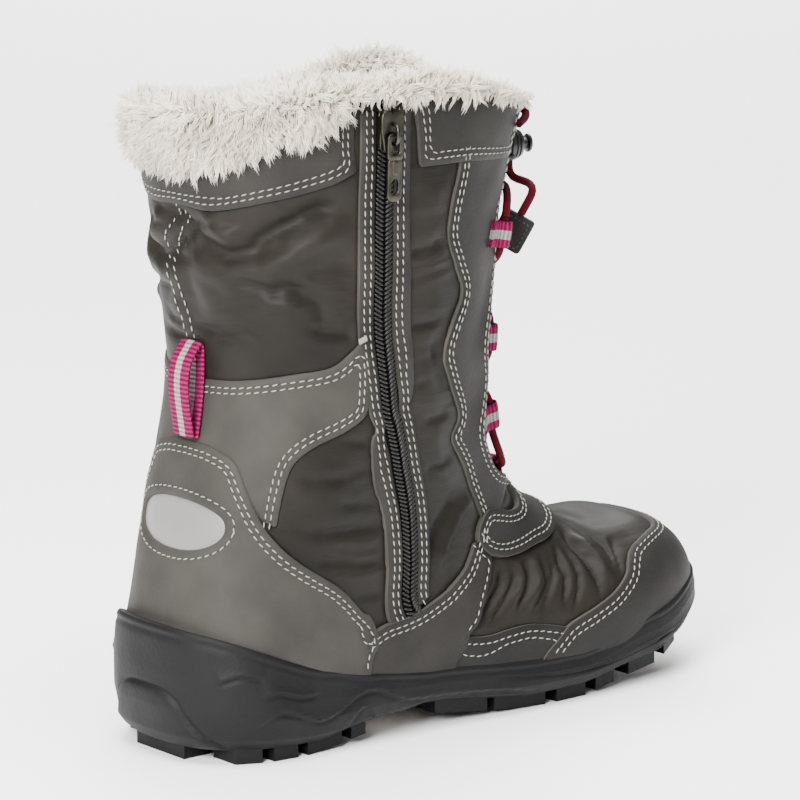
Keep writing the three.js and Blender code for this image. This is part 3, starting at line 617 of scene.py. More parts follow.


# %% [markdown]
# ## Folds
# The nylon shaft is padded, so it puffs between its seams and creases where the foot bends. The
# creases are placed as tracks over the last, each with a depth and a width in
# millimetres, and every piece asks one function how far the surface is pushed in or out. Cloth
# simulation could make folds too, but not these folds in these places.

# %% Creases, in millimetres: depth (minus is a trough), half width, and marks on the inner side
CREASES = [
    # the deep fold round the back of the shaft, and the folds that meet it
    (-3.4, 2.2, [(-19, 12, 180), (-20, 2, 177), (-19, -4, 173), (-18, -9, 169), (-16, -14, 167),
                 (-15, -18, 166), (-12, -25, 167), (-9, -30, 168), (-5, -34, 170), (-2, -37, 171)]),
    (-3.6, 3.2, [(-14, -22, 167), (-12, -26, 169), (-9, -31, 173), (-5, -35, 176), (0, -39, 179),
                 (5, -42, 181), (12, -44, 182)]),
    (-1.7, 1.4, [(-18, 2, 168), (-18, -6, 167), (-16, -14, 166)]),
    (-1.4, 1.1, [(-20, -2, 173), (-19, -3, 171), (-18, -8, 168)]),
    (-1.5, 1.2, [(-20, -5, 177), (-18, -16, 177), (-15, -24, 177)]),
    (-1.6, 1.5, [(-19, 14, 180), (-20, 7, 177), (-20, 2, 175)]),
    (2.2, 3.4, [(-11, -26, 162), (-5, -34, 166), (2, -39, 171), (10, -43, 173)]),
    (2.0, 3.0, [(-19, -12, 180), (-17, -17, 175), (-15, -22, 172)]),
    (1.6, 5.0, [(-17, -2, 161), (-13, -22, 160), (-4, -34, 161)]),
    # the middle of the back panel
    (-2.2, 2.2, [(-14, -18, 159), (-10, -26, 157), (-6, -30, 155), (-4, -33, 156), (0, -36, 155),
                 (4, -38, 152)]),
    (1.3, 2.4, [(-9, -27, 153), (-3, -33, 151), (1, -37, 150)]),
    (-1.2, 4.0, [(1, -37, 161), (7, -41, 163), (15, -43, 164)]),
    (-1.3, 1.5, [(-14, 1, 141), (-13, -10, 140), (-11, -20, 141), (-7, -27, 139)]),
    (-1.7, 1.8, [(3, -36, 143), (8, -39, 141), (13, -41, 140), (20, -43, 139)]),
    (-1.1, 2.5, [(3, -38, 154), (6, -39, 149), (7, -39, 144)]),
    (1.2, 4.0, [(-16, -5, 159), (-14, -12, 150)]),
    (-1.1, 2.0, [(-9, 26, 155), (-15, 8, 152)]),
    (-0.9, 1.5, [(-13, 15, 142), (-14, 6, 141)]),
    # between the zip and the facing
    (-1.7, 1.4, [(37, -46, 164), (43, -46, 165), (54, -45, 167)]),
    (-1.2, 1.0, [(39, -44, 140), (45, -44, 140), (52, -43, 140)]),
    (-1.6, 4.0, [(50, -43, 132), (55, -42, 128), (58, -40, 122)]),
    (-0.8, 1.2, [(42, -42, 120), (49, -42, 120)]),
    (-1.0, 1.6, [(49, -41, 107), (59, -39, 108)]),
    (-0.8, 1.4, [(50, -39, 90), (58, -38, 91), (64, -36, 92)]),
    (1.8, 2.4, [(55, -36, 53), (62, -35, 62), (70, -33, 71), (78, -31, 75)]),
    (-1.8, 2.0, [(60, -36, 56), (68, -35, 68), (75, -32, 73)]),
    (-1.5, 2.0, [(52, -36, 60), (60, -35, 71), (67, -33, 80)]),
    # the gathered vamp under the instep tab
    (-2.3, 1.5, [(91, -32, 51), (88, -34, 44), (83, -36, 40), (76, -38, 34)]),
    (-1.5, 1.1, [(95, -31, 50), (94, -34, 45), (88, -36, 39), (79, -39, 32)]),
    (-1.5, 1.2, [(102, -30, 50), (100, -34, 44), (96, -36, 39), (91, -38, 34)]),
    (-1.5, 1.2, [(110, -30, 50), (108, -35, 42), (102, -38, 37), (98, -39, 33)]),
    (-1.1, 1.0, [(114, -29, 50), (112, -34, 44), (106, -38, 38), (101, -40, 31)]),
    (-1.7, 1.2, [(120, -26, 52), (117, -32, 45), (116, -36, 41), (111, -40, 34)]),
    (-1.5, 1.2, [(123, -25, 53), (123, -33, 45), (120, -38, 38), (115, -41, 31)]),
    (-1.9, 1.5, [(128, -20, 55), (128, -33, 45), (129, -38, 39), (128, -41, 34)]),
    (-1.5, 1.7, [(134, -6, 57), (138, -18, 54), (140, -29, 48), (139, -37, 41)]),
    (-0.9, 1.5, [(145, -27, 50), (142, -33, 45), (140, -39, 39)]),
    (1.0, 1.3, [(98, -31, 50), (97, -34, 44), (92, -36, 38)]),
    (1.0, 1.4, [(106, -30, 50), (105, -34, 43), (99, -38, 36)]),
    (1.2, 1.4, [(131, -22, 52), (133, -33, 45), (134, -39, 38)]),
    # the insert behind the zip
    (-1.3, 1.7, [(0, -36, 93), (9, -38, 92), (17, -40, 92)]),
    (-0.9, 1.4, [(13, -39, 84), (30, -39, 82)]),
    (-1.5, 1.6, [(-2, -35, 77), (6, -37, 75), (21, -39, 74), (32, -39, 74)]),
    (-1.2, 1.4, [(4, -37, 65), (17, -38, 64), (31, -38, 61)]),
    (-0.9, 1.1, [(11, -38, 69), (32, -38, 66)]),
    (-1.2, 1.4, [(18, -38, 52), (33, -38, 50)]),
    (-0.8, 1.2, [(16, -40, 104), (27, -41, 103)]),
]


def crease_samples():
    """Every crease as points 1 mm apart with its depth, which fades out at both ends."""
    points, depth, width = [], [], []
    for deep, wide, marks in CREASES:
        path = resample(curve_through(places(marks)), 1.0)
        line = on_last(*path.T)
        f = np.linspace(0, 1, len(line))
        fade = np.minimum(1, np.minimum(f, 1 - f) / 0.22) ** 0.7
        for mirrored in (False, True):
            # the outer side has its own folds: the same family, moved a little and softer
            shifted = over_front(path) + (0.12, 0.05) if mirrored else path
            here = on_last(*shifted.T) if mirrored else line
            points.append(here)
            depth.append(deep * fade * (0.8 if mirrored else 1))
            width.append(np.full(len(line), wide))
    return np.vstack(points), np.concatenate(depth), np.concatenate(width)


CREASE_POINTS, CREASE_DEPTH, CREASE_WIDTH = crease_samples()


def soft_noise(points, size, seed):
    """Smooth random waves about size mm long, between -1 and 1."""
    rng = np.random.default_rng(seed)
    total = np.zeros(len(points))
    for _ in range(10):
        direction = unit(rng.normal(size=3)) / size * 2 * np.pi * rng.uniform(0.6, 1.3)
        total += np.sin(points @ direction + rng.uniform(0, 6.28))
    return total / 4.5


def folds(row, angle):
    """How far the creases push each place out, in millimetres."""
    points = on_last(row, angle)
    push = np.zeros(len(points))
    cells = {}
    size = 8.0
    for i, key in enumerate(map(tuple, np.floor(CREASE_POINTS / size).astype(int))):
        cells.setdefault(key, []).append(i)
    keys = np.floor(points / size).astype(int)
    order = np.lexsort(keys.T)
    groups = np.split(order, np.nonzero(np.any(np.diff(keys[order], axis=0), axis=1))[0] + 1)
    for group in groups:
        x, y, z = keys[group[0]]
        near = [i for dx in (-1, 0, 1) for dy in (-1, 0, 1) for dz in (-1, 0, 1)
                for i in cells.get((x + dx, y + dy, z + dz), ())]
        if not near:
            continue
        gap = np.linalg.norm(points[group][:, None] - CREASE_POINTS[near][None], axis=2)
        # cloth folds to a sharp valley but rounds over a ridge
        away = gap / CREASE_WIDTH[near]
        share = CREASE_DEPTH[near] * np.where(CREASE_DEPTH[near] < 0, np.exp(-0.9 * away**1.2),
                                              np.exp(-0.5 * away**2))
        # the deepest trough and the highest ridge nearby, so a long crease isn't counted twice
        push[group] = share.min(1).clip(max=0) + share.max(1).clip(min=0)
    return push * 1.5


print(len(CREASES), "creases,", len(CREASE_POINTS), "samples")

# %% [markdown]
# ## Patterns
# The panels are drawn the way a pattern cutter draws them, as closed outlines on the last.
# Each seam is a track through marks in millimetres, used three times: as a panel's edge, as the
# line of its stitches, and as the place where the padded nylon is pinned down.

# %% Seams of the leather panels, inner side
COLLAR_BACK = track((-21, 0, 181.5), (-18.8, -16, 181), (-12, -30, 184), (-2, -38.5, 187),
                    (8, -42, 190), (15, -45, 193.4))
COLLAR_BACK_END = track((15, -45, 193.4), (14, -45.5, 202), (14, -46, 214))
COLLAR_FRONT_END = track((37, -47.5, 216), (39, -47, 204), (40.5, -46.6, 193))
COLLAR_FRONT = track((40.5, -46.6, 193), (61, -45, 193), (77, -41.5, 191.4), (91, -34.5, 190))
COLLAR_FRONT_EDGE = track((91, -34.5, 190), (93, -34.5, 197), (94.5, -35, 205), (95, -35.5, 210))
WING_TOP = track((-14, 0, 123), (-11, -19, 124.4), (-1, -32, 127), (10, -39, 129), (17, -42, 134),
                 (20.5, -43, 137.5))
WING_EDGE = track((20.5, -43, 137.5), (22.6, -43, 131), (23.2, -42, 120), (22, -41.5, 112.5),
                  (15, -40.5, 108), (6, -38.5, 104.5), (0, -36.5, 101), (-4, -35.5, 96.5),
                  (-6, -34, 88.7), (-8, -33, 78))
COUNTER_TOP = track((-17.5, 0, 102.6), (-16, -11, 101.6), (-14.4, -20, 98), (-13.4, -25, 89),
                    (-11, -29, 79), (-6.5, -33, 71), (8.3, -37, 59), (17, -38, 52), (25, -38, 44.5),
                    (29, -38, 38), (28.5, -38, 32), (25, -38, 22), (24, -37, 14))
FACING_BACK = track((57.8, -45, 197), (57.8, -45, 189.6), (55.3, -45, 178), (55, -45, 167.6),
                    (60, -43, 157), (64, -41, 148), (59, -42, 138), (56.4, -42, 128), (61, -40, 117),
                    (67.4, -37, 105.6), (63.8, -38, 98.4), (69, -35, 91), (74, -34, 84.6),
                    (79, -32, 75), (83, -31, 67), (85, -31, 61))
FACING_FRONT = track((95, -33.5, 197), (94, -32, 190), (92.5, -31, 180), (88.5, -34, 169), (90.5, -30.5, 160),
                     (91.5, -29, 150), (88.5, -31, 140), (84, -34, 128), (87.5, -30.5, 118),
                     (88, -30, 110), (84, -32.5, 99), (88.5, -29.5, 90), (95, -23, 80.5),
                     (101, -15, 75))
TAB_LOWER = track((78.8, -32.5, 60.7), (84, -31.5, 54.8), (92, -31, 52.4), (101, -29.5, 52.3),
                  (110, -27, 53.4), (117.6, -24.6, 54), (124, -20, 55.6), (128, -14, 57.3),
                  (129.6, -6, 58.5), (130, 0, 59))
TAB_TOP = track((78.8, -32.5, 60.7), (80, -31.5, 65), (85.3, -29, 69), (92, -26.5, 68),
                (100, -23, 65.5), (107, -19, 65), (109.5, -13, 66.5), (107, -8, 70), (104, -5, 73),
                (102, 0, 75))
OVERLAY_TOP = track((26, -38, 37), (33.7, -38, 39.5), (46, -37.5, 41), (58.9, -37, 45), (66, -36, 48.5),
                    (72.5, -35, 53), (77.5, -33, 60))
OVERLAY_EDGE = track((77.5, -33, 60), (84.5, -33, 54), (83.5, -34.5, 49), (80, -36, 43.8),
                     (74.5, -38, 35), (69, -39, 30.6))
FOXING_TOP = track((66, -39, 30), (76.5, -40, 28.6), (88, -40.5, 29.6), (97, -40.5, 29.6),
                   (109.6, -42, 27), (122, -41, 24))
TOE_TOP = track((98, -41, 15), (101, -41, 18.5), (106, -42, 22.5), (113, -42, 27.6), (124.4, -41, 31),
                (134, -40, 34.5), (141.5, -37.5, 38.6), (145, -35.5, 43), (149, -33, 46.4),
                (157.5, -30, 49), (167, -24.5, 50.4), (171.5, -15, 50.5), (173, -5, 50.6))
ZIP_MARKS = [(26, 212), (26, 183), (26.8, 160), (27.7, 139), (31.4, 116), (37.5, 95), (43.2, 73),
             (46, 42)]
ZIP = track(*[(x, -44 if z > 100 else -38, z) for x, z in ZIP_MARKS], spacing=1.0)
ZIP_BACK_EDGE = inset(ZIP, -3.7)
ZIP_BACK_OUT = inset(ZIP, -9.6)
ZIP_FRONT_EDGE = inset(ZIP, 3.7)
ZIP_FRONT_OUT = inset(ZIP, 9.2)
print("zip", round(length_of(on_last(*ZIP.T)), 1), "mm long")


# %% [markdown]
# ## Coated leather and padded nylon
# The panels are split leather under a thin grey coat: matt, with a fine pebble grain and faint
# mottling, and slightly paler where it was cut. Grain is far finer than any mesh, so it is bump,
# with its scale worked out from the size of one pebble. The nylon is a tight taffeta: its
# threads hardly show, but it shines in soft streaks and gathers in tiny pleats along its seams.

# %% Leather
def noise(tree, coordinates, size_mm, detail=3.0, **settings):
    """Noise whose features are about size_mm across."""
    return add(tree, "ShaderNodeTexNoise", {
        "Vector": coordinates, "Scale": 1000 / size_mm / 2, "Detail": detail, **settings}).outputs["Fac"]


def tint(tree, surface, factor, dark, light, low=0.3, high=0.7):
    """Colours a surface between two hex colours by a factor."""
    feed(surface, "Base Color", ramped(tree, factor, dark, light, low, high))


def uneven_gloss(tree, surface, factor, low, high):
    feed(surface, "Roughness", add(tree, "ShaderNodeMapRange", {"Value": factor, 3: low, 4: high}))


def coated_leather(name, dark, light, roughness=0.62):
    # a dull coat with pebbles about 0.5 mm wide, drawn at 0.8 mm so that they show
    material, tree, surface = new_material(name, light, roughness, specular_ior_level=0.16)
    place_ = object_place(tree)
    tint(tree, surface, noise(tree, place_, 9, 6), dark, light)
    pebble = add(tree, "ShaderNodeTexVoronoi", {"Vector": place_, "Scale": 1000 / 0.8},
                 feature="SMOOTH_F1")
    height = maths(tree, "ADD", pebble.outputs["Distance"], noise(tree, place_, 0.5, 2))
    grain = bumped(tree, surface, height, 0.00012, 0.55)
    bumped(tree, surface, noise(tree, place_, 14, 3), 0.0009, 0.35, grain)
    return material


LEATHER = coated_leather("coated_split_leather_grey", "292724", "33312d")
# the toe cap and foxing get a darker copy of this leather: painted shade for a forefoot that faces away from
# the lamps
LEATHER_TOE_SHADED = coated_leather("coated_split_leather_toe_shaded", "161514", "1e1c1a")
LEATHER_COLLAR = coated_leather("coated_split_leather_collar", "1c1a18", "262421")
LEATHER_FRONT = coated_leather("coated_split_leather_front", "161513", "1e1c1a")
CUT_EDGE = coated_leather("leather_cut_edge", "2e2c28", "3b3833", 0.8)


# %% Nylon
def padded_nylon():
    # plain taffeta: threads 0.25 mm apart, drawn at 0.6 mm, under a slight calendered shine
    material, tree, surface = new_material(
        "nylon_taffeta_padded", "2a2824", 0.5, specular_ior_level=0.1)
    place_ = object_place(tree)
    tint(tree, surface, noise(tree, place_, 25, 5), "151310", "201d19", 0.35, 0.65)
    flat = add(tree, "ShaderNodeMapping", {"Vector": place_, "Scale": (1, 1, 2.6)})
    wide = bumped(tree, surface, noise(tree, flat, 22, 2, Distortion=0.8), 0.004, 0.45)
    flatter = add(tree, "ShaderNodeMapping", {"Vector": place_, "Scale": (1, 1, 2.2)})
    soft = bumped(tree, surface, noise(tree, flatter, 9, 2, Distortion=0.4), 0.001, 0.35, wide)
    thread = add(tree, "ShaderNodeTexWave", {"Vector": place_, "Scale": 1000 / 0.6 / 6.28,
                                             "Distortion": 0.4}, bands_direction="Z")
    bumped(tree, surface, thread.outputs["Fac"], 0.00004, 0.3, soft)
    uneven_gloss(tree, surface, noise(tree, place_, 18, 3), 0.46, 0.6)
    return material


NYLON = padded_nylon()

# %% [markdown]
# ## Cutting a panel
# A panel is a flat cut that was pulled over the last. It is triangulated in the last's own two
# directions with its outline kept exactly, then lifted to its own height, and its rim is rolled
# down to the nylon. A boolean cut would leave ragged edges; this leaves a knife's edge.

# %% The last unrolled
ROW_STEPS = np.arange(0, LAST_ROW + 0.01, 0.05)
SIDE_LINE = on_last(ROW_STEPS, -np.pi / 2 + 0 * ROW_STEPS)
SIDE_RUN = run_along(SIDE_LINE)


MM_PER_RADIAN = 45


def unrolled(path):
    return np.stack([np.interp(path[:, 0], ROW_STEPS, SIDE_RUN), path[:, 1] * MM_PER_RADIAN], 1)


def rolled(flat):
    return np.stack([np.interp(flat[:, 0], SIDE_RUN, ROW_STEPS), flat[:, 1] / MM_PER_RADIAN], 1)


def inside(points, ring):
    """True for each flat point inside a flat ring."""
    result = np.zeros(len(points), bool)
    for (x0, y0), (x1, y1) in zip(ring, np.roll(ring, -1, axis=0)):
        crosses = (y0 > points[:, 1]) != (y1 > points[:, 1])
        with np.errstate(divide="ignore", invalid="ignore"):
            at = (x1 - x0) * (points[:, 1] - y0) / (y1 - y0) + x0
        result ^= crosses & (points[:, 0] < at)
    return result


def in_panel(points, rings):
    """True for each flat point inside the first ring and outside the others."""
    result = inside(points, rings[0])
    for ring in rings[1:]:
        result &= ~inside(points, ring)
    return result


def gaps_to(points, samples):
    """The distance from each point to the nearest of the samples."""
    tree = KDTree(len(samples))
    for i, sample in enumerate(samples):
        tree.insert(sample, i)
    tree.balance()
    return np.array([tree.find(p)[2] for p in points])


def ripple(points):
    """The slight unevenness of lasted leather."""
    return 0.28 * soft_noise(points, 30, 3) + 0.12 * soft_noise(points, 11, 4)


def leather_height(path, lift, follow=0.3, rise=None):
    """The top of the leather over the last, with a share of the nylon's folds."""
    points = on_last(*path.T)
    if rise is not None:
        # a padded edge: up to 2.4 mm more within a few millimetres of the line
        near = gaps_to(points, on_last(*rise.T))
        lift = lift + 2.4 * np.exp(-((near / 6.5) ** 2)) * np.clip((176 - points[:, 2]) / 18, 0, 1)
    return lift + follow * folds(*path.T) + ripple(points)


def make_mesh(name, points_mm, faces, material):
    mesh = bpy.data.meshes.new(name)
    mesh.from_pydata((np.asarray(points_mm) * MM).tolist(), [], faces)
    mesh.materials.append(material)
    mesh.polygons.foreach_set("use_smooth", [True] * len(mesh.polygons))
    mesh.update()
    return add_object(name, mesh)


def mended(mesh, weld=True):
    """Welds points that coincide and turns every face outwards."""
    bm = bmesh.new()
    bm.from_mesh(mesh)
    if weld:
        bmesh.ops.remove_doubles(bm, verts=bm.verts, dist=1e-6)
    bmesh.ops.recalc_face_normals(bm, faces=bm.faces)
    bm.to_mesh(mesh)
    bm.free()


OUTLINES = []
NET_STEP = 1.9


def panel(name, outline, lift, material=LEATHER, holes=(), follow=0.3, rise=None):
    """A leather panel inside an outline of places, with a rolled rim."""
    rings = [resample(outline, 1.2, closed=True)] + [resample(hole, 1.0, closed=True) for hole in holes]
    flats = [unrolled(ring) for ring in rings]
    OUTLINES.append(flats)
    # a net of staggered points inside the outline
    net = np.meshgrid(*(np.arange(a, b, NET_STEP) for a, b in zip(flats[0].min(0), flats[0].max(0))),
                      indexing="ij")
    grid = np.stack([net[0].ravel(), net[1].ravel()], 1)
    grid[:, 0] += (np.round(grid[:, 1] / NET_STEP).astype(int) % 2) * NET_STEP / 2
    edge = np.vstack(flats)
    grid = grid[in_panel(grid, flats)]
    grid = grid[gaps_to(np.c_[grid, 0 * grid[:, 0]], np.c_[edge, 0 * edge[:, 0]]) > 1.1]
    flat_points = np.vstack([edge, grid])
    borders, start = [], 0
    for flat in flats:
        n = len(flat)
        borders += [(start + i, start + (i + 1) % n) for i in range(n)]
        start += n
    found = delaunay_2d_cdt([Vector(p) for p in flat_points], borders, [], 0, 1e-6)
    flat_points = np.array([tuple(p) for p in found[0]])
    faces = np.array([f for f in found[2] if len(f) == 3])
    faces = faces[in_panel(flat_points[faces].mean(1), flats)]
    where = rolled(flat_points)
    points = raised(*where.T, leather_height(where, lift, follow, rise))
    # turn every face outwards
    a, b, c = (points[faces[:, k]] for k in range(3))
    turned = (np.cross(b - a, c - a) * outward(where[faces[:, 0], 0], where[faces[:, 0], 1])).sum(1) < 0
    faces[turned] = faces[turned][:, ::-1]
    # the rim: border edges walked in the direction of their face
    ways = {(f[i], f[(i + 1) % 3]): True for f in faces.tolist() for i in range(3)}
    rim = [(i, j) for i, j in ways if (j, i) not in ways]
    follows, before = dict(rim), {j: i for i, j in rim}
    order = sorted(follows)
    normal = outward(*where[order].T)
    along = unit(np.array([points[follows[i]] - points[before.get(i, i)] for i in order]))
    away = np.cross(along, normal)
    base = points[order]
    drop_to = on_last(*where[order].T) - normal * 0.9
    points[order] -= normal * 0.12
    count = len(order)
    number = {i: len(points) + k for k, i in enumerate(order)}
    points = np.vstack([points, base - normal * 0.4 + away * 0.22, drop_to + away * 0.3])
    rim_faces = []
    for i, j in rim:
        if i in number and j in number:
            rim_faces.append((j, i, number[i], number[j]))
            rim_faces.append((number[j], number[i], number[i] + count, number[j] + count))
    obj = make_mesh(name, points, faces.tolist() + rim_faces, material)
    obj.data.materials.append(CUT_EDGE)
    obj.data.polygons.foreach_set("material_index", [0] * len(faces) + [1] * len(rim_faces))
    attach(obj, BODY)
    return obj


def line(*marks):
    return resample(places(marks), 4.0)


def closed_under(run, foot, mirror):
    """An outline of a run over the top and its foot, mirrored, below."""
    return joined(run, foot[1:], mirror(foot)[::-1][1:-1])


def along_rim(first, last, count):
    """Places on the boot's rim between two angles."""
    return np.array([(rim_row(a) + 0.04, a) for a in np.linspace(first, last, count)])


# %% The badge's place at the back of the heel
def oval(half_width, half_height, height=76, count=72):
    """A plump oval round the back's middle line, as a ring of places."""
    middle = row_at_height(height, -np.pi)
    turns = np.linspace(-1.3, 1.3, 401)
    ring = on_last(middle, turns - np.pi)
    run = run_along(ring)
    run -= run[len(run) // 2]
    phi = np.linspace(0, 2 * np.pi, count, endpoint=False)
    across_ = half_width * signed_power(np.cos(phi), 0.9)
    up_ = half_height * signed_power(np.sin(phi), 0.9)
    per_row = np.linalg.norm(on_last(middle + 0.5, -np.pi) - on_last(middle - 0.5, -np.pi))
    return np.stack([middle - up_ / per_row, np.interp(across_, run, turns) - np.pi], 1)

# %% [markdown]
# ## The leather panels
# Each panel is named for its place on a boot: the counter cups the heel, the wing wraps the back
# of the ankle, the facings carry the lace loops, the foxing and the toe cap guard the forefoot.
# Where two panels cross, the one that was sewn last lies higher.

# %% Heel and ankle
counter_foot = line((24, -37, 14), (0, -36, 12), (-20, -28, 15), (-31, -12, 19), (-33, 0, 20))
panel("heel_counter", closed_under(both_backs(COUNTER_TOP), counter_foot, over_back), 1.75,
      holes=[oval(21.5, 8.6)])
wing_seam = both_backs(joined(WING_TOP, WING_EDGE[1:]))
wing_under = line((-8, -33, 78), (-17, -20, 88), (-20, 0, 92))
panel("ankle_wing", closed_under(wing_seam, wing_under, over_back), 1.0)
panel("heel_badge", oval(22.6, 9.7), 0.9, new_material("tpu_badge_plate", "6f6d6c", 0.34)[0])

# %% Collar
FULL_TURN = (0, -2 * np.pi)
side_run = over_front(COLLAR_FRONT) + FULL_TURN
side_edge = over_front(COLLAR_FRONT_EDGE) + FULL_TURN
back_run = joined(COLLAR_BACK_END[::-1], COLLAR_BACK[::-1][1:], over_back(COLLAR_BACK)[1:])
bridge = back_run[-1] + (side_run[0] - back_run[-1]) * np.linspace(0, 1, 12)[1:-1, None]
collar_seam = joined(back_run, bridge, side_run, side_edge[1:])
rim_back = along_rim(side_edge[-1, 1], COLLAR_BACK_END[-1, 1], 60)
panel("collar_back", joined(collar_seam, rim_back[1:-1]), 1.2, LEATHER_COLLAR)
front_seam = joined(COLLAR_FRONT_END, COLLAR_FRONT[1:], COLLAR_FRONT_EDGE[1:])
rim_front = along_rim(COLLAR_FRONT_EDGE[-1, 1], COLLAR_FRONT_END[0, 1], 20)
panel("collar_front", joined(front_seam, rim_front[1:-1]), 1.3, LEATHER_COLLAR)

# %% Facings, zip plackets
facing_outline = joined(FACING_BACK, FACING_FRONT[::-1])
panel("lace_facing_inner", facing_outline, 1.0, LEATHER_FRONT, rise=FACING_FRONT)
panel("lace_facing_outer", over_front(facing_outline)[::-1], 1.0, LEATHER_FRONT,
      rise=over_front(FACING_FRONT))
panel("zip_placket_back", joined(ZIP_BACK_OUT, ZIP_BACK_EDGE[::-1]), 0.9, LEATHER_COLLAR, follow=0.1)
panel("zip_placket_front", joined(ZIP_FRONT_OUT, ZIP_FRONT_EDGE[::-1]), 0.9, LEATHER_COLLAR, follow=0.1)

# %% Foot
tab_ring = joined(both_fronts(TAB_LOWER), over_front(TAB_TOP)[1:], TAB_TOP[::-1][1:-1])
panel("instep_tab", tab_ring, 2.0, LEATHER_FRONT)
overlay_foot = line((69, -39, 30.6), (66, -41, 15), (40, -38, 8), (22, -37, 12), (23, -38, 26), (26, -38, 37))
overlay_ring = joined(OVERLAY_TOP, OVERLAY_EDGE[1:], overlay_foot[1:-1])
foxing_foot = line((122, -41, 24), (122, -41, 12), (90, -41, 8), (66, -41, 12), (66, -39, 30))
foxing_ring = joined(FOXING_TOP, foxing_foot[1:-1])
# the foxing's darker toe leather is painted shade
for name, ring, lift, material in (("quarter", overlay_ring, 1.35, LEATHER_COLLAR),
                                   ("foxing", foxing_ring, 0.95, LEATHER_TOE_SHADED)):
    panel(name + "_inner", ring, lift, material)
    panel(name + "_outer", over_front(ring)[::-1], lift, material)
toe_foot = line((98, -41, 15), (118, -40, 9), (140, -37, 12), (158, -31, 17), (172, -23, 20), (183, -13, 23),
                (188, -6, 26))
toe_seam = joined(over_front(TOE_TOP), TOE_TOP[::-1][1:])
# the toe cap's darker leather is painted shade
panel("toe_cap", closed_under(toe_seam, toe_foot, over_front), 1.5, LEATHER_TOE_SHADED)

# %% [markdown]
# ## The nylon shell
# Under the panels lies one padded shell of nylon. It puffs up between the seams, is pinned flat
# along them and sinks out of sight beneath the leather. A single fine grid follows the last,
# so the folds can run on from panel to panel.

# %% The shell
SOLE_TOP = np.array([(-37, 45), (8, 29), (26, 25), (52, 21.5), (98, 18), (118, 18), (153, 26), (190.5, 36)])


def shell_grid(step):
    rows_top = np.linspace(0, 1, int(62 / step))[:-1]
    lengths = np.arange(np.interp(3, ROW_STEPS, SIDE_RUN), np.interp(16.6, ROW_STEPS, SIDE_RUN), step)
    angles = np.linspace(0, 2 * np.pi, int(345 / step), endpoint=False) - np.pi * 1.5
    upper = [rim_row(angles) + 0.02 + (3 - rim_row(angles) - 0.02) * f for f in rows_top]
    lower = [np.full(len(angles), np.interp(run, SIDE_RUN, ROW_STEPS)) for run in lengths]
    return np.array(upper + lower), np.tile(angles, (len(upper) + len(lower), 1))


def puffed(row, angle, depth=1.5):
    """The padded nylon's height: up between seams, down along them, away under leather."""
    points = on_last(row, angle)
    flat = unrolled(np.stack([row, angle], 1))
    covered = np.zeros(len(flat), bool)
    samples = []
    for flats in OUTLINES:
        for lap in (-360, 0, 360):
            moved = flat + (0, lap * np.pi / 180 * MM_PER_RADIAN)
            ring = flats[0]
            near = ((moved > ring.min(0)) & (moved < ring.max(0))).all(1)
            covered[near] |= inside(moved[near], ring)
        where = rolled(flats[0])
        samples.append(on_last(*where.T))
    gap_ = gaps_to(points, np.vstack(samples))
    push = folds(row, angle)
    free = depth * (1 - np.exp(-(gap_ / 9) ** 1.4)) + push * (1 - np.exp(-(gap_ / 2.2) ** 2))
    free += 0.35 * soft_noise(points, 22, 7) * (1 - np.exp(-gap_ / 6))
    free = np.maximum(free, -3.3)
    return np.where(covered, -1.1 * (1 - np.exp(-gap_ / 0.8)) - 0.05, free - 0.05)


OUTLINES.append([unrolled(joined(ZIP_BACK_EDGE, ZIP_FRONT_EDGE[::-1]))])
rows, angles = shell_grid(1.25)
shape = rows.shape
heights = puffed(rows.ravel(), angles.ravel())
points = raised(rows.ravel(), angles.ravel(), heights)
points[:, 2] = np.maximum(points[:, 2], 5)
hidden = points[:, 2] < np.interp(points[:, 0], *SOLE_TOP.T) - 9
faces = [quad for quad in quads(*shape, wrap_columns=1, flip=True) if not all(hidden[n] for n in quad)]
shell = make_mesh("nylon_shell", points, faces, NYLON)
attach(shell, BODY)
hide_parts("upper")
print("shell", len(faces), "quads")

# %% [markdown]
# ## Repeats along a line
# Topstitching, zip coils and needle holes are one small shape set again and again along a path,
# which is what Geometry Nodes do best. One tree makes them all: it steps along the path, turns a
# grain-shaped piece into the path's direction, and shifts it over the surface. The path carries
# the surface's own outward direction as an attribute.

# %% The tree
def geometry_tree(name, defaults):
    """A Geometry Nodes tree with named inputs: a float or a whole number for each default."""
    tree = bpy.data.node_groups.new(name, "GeometryNodeTree")
    face = tree.interface
    face.new_socket("Geometry", in_out="INPUT", socket_type="NodeSocketGeometry")
    for key, value in defaults.items():
        kind = "NodeSocketInt" if isinstance(value, int) else "NodeSocketFloat"
        face.new_socket(key, in_out="INPUT", socket_type=kind).default_value = value
    face.new_socket("Material", in_out="INPUT", socket_type="NodeSocketMaterial")
    face.new_socket("Geometry", in_out="OUTPUT", socket_type="NodeSocketGeometry")
    return tree, add(tree, "NodeGroupInput").outputs


def stored(tree, name, kind="FLOAT_VECTOR"):
    return add(tree, "GeometryNodeInputNamedAttribute", {"Name": name}, data_type=kind).outputs[0]


def hand_out(tree, geometry, material):
    dressed = add(tree, "GeometryNodeSetMaterial", {"Geometry": geometry, "Material": material})
    add(tree, "NodeGroupOutput", {0: dressed})
    return tree


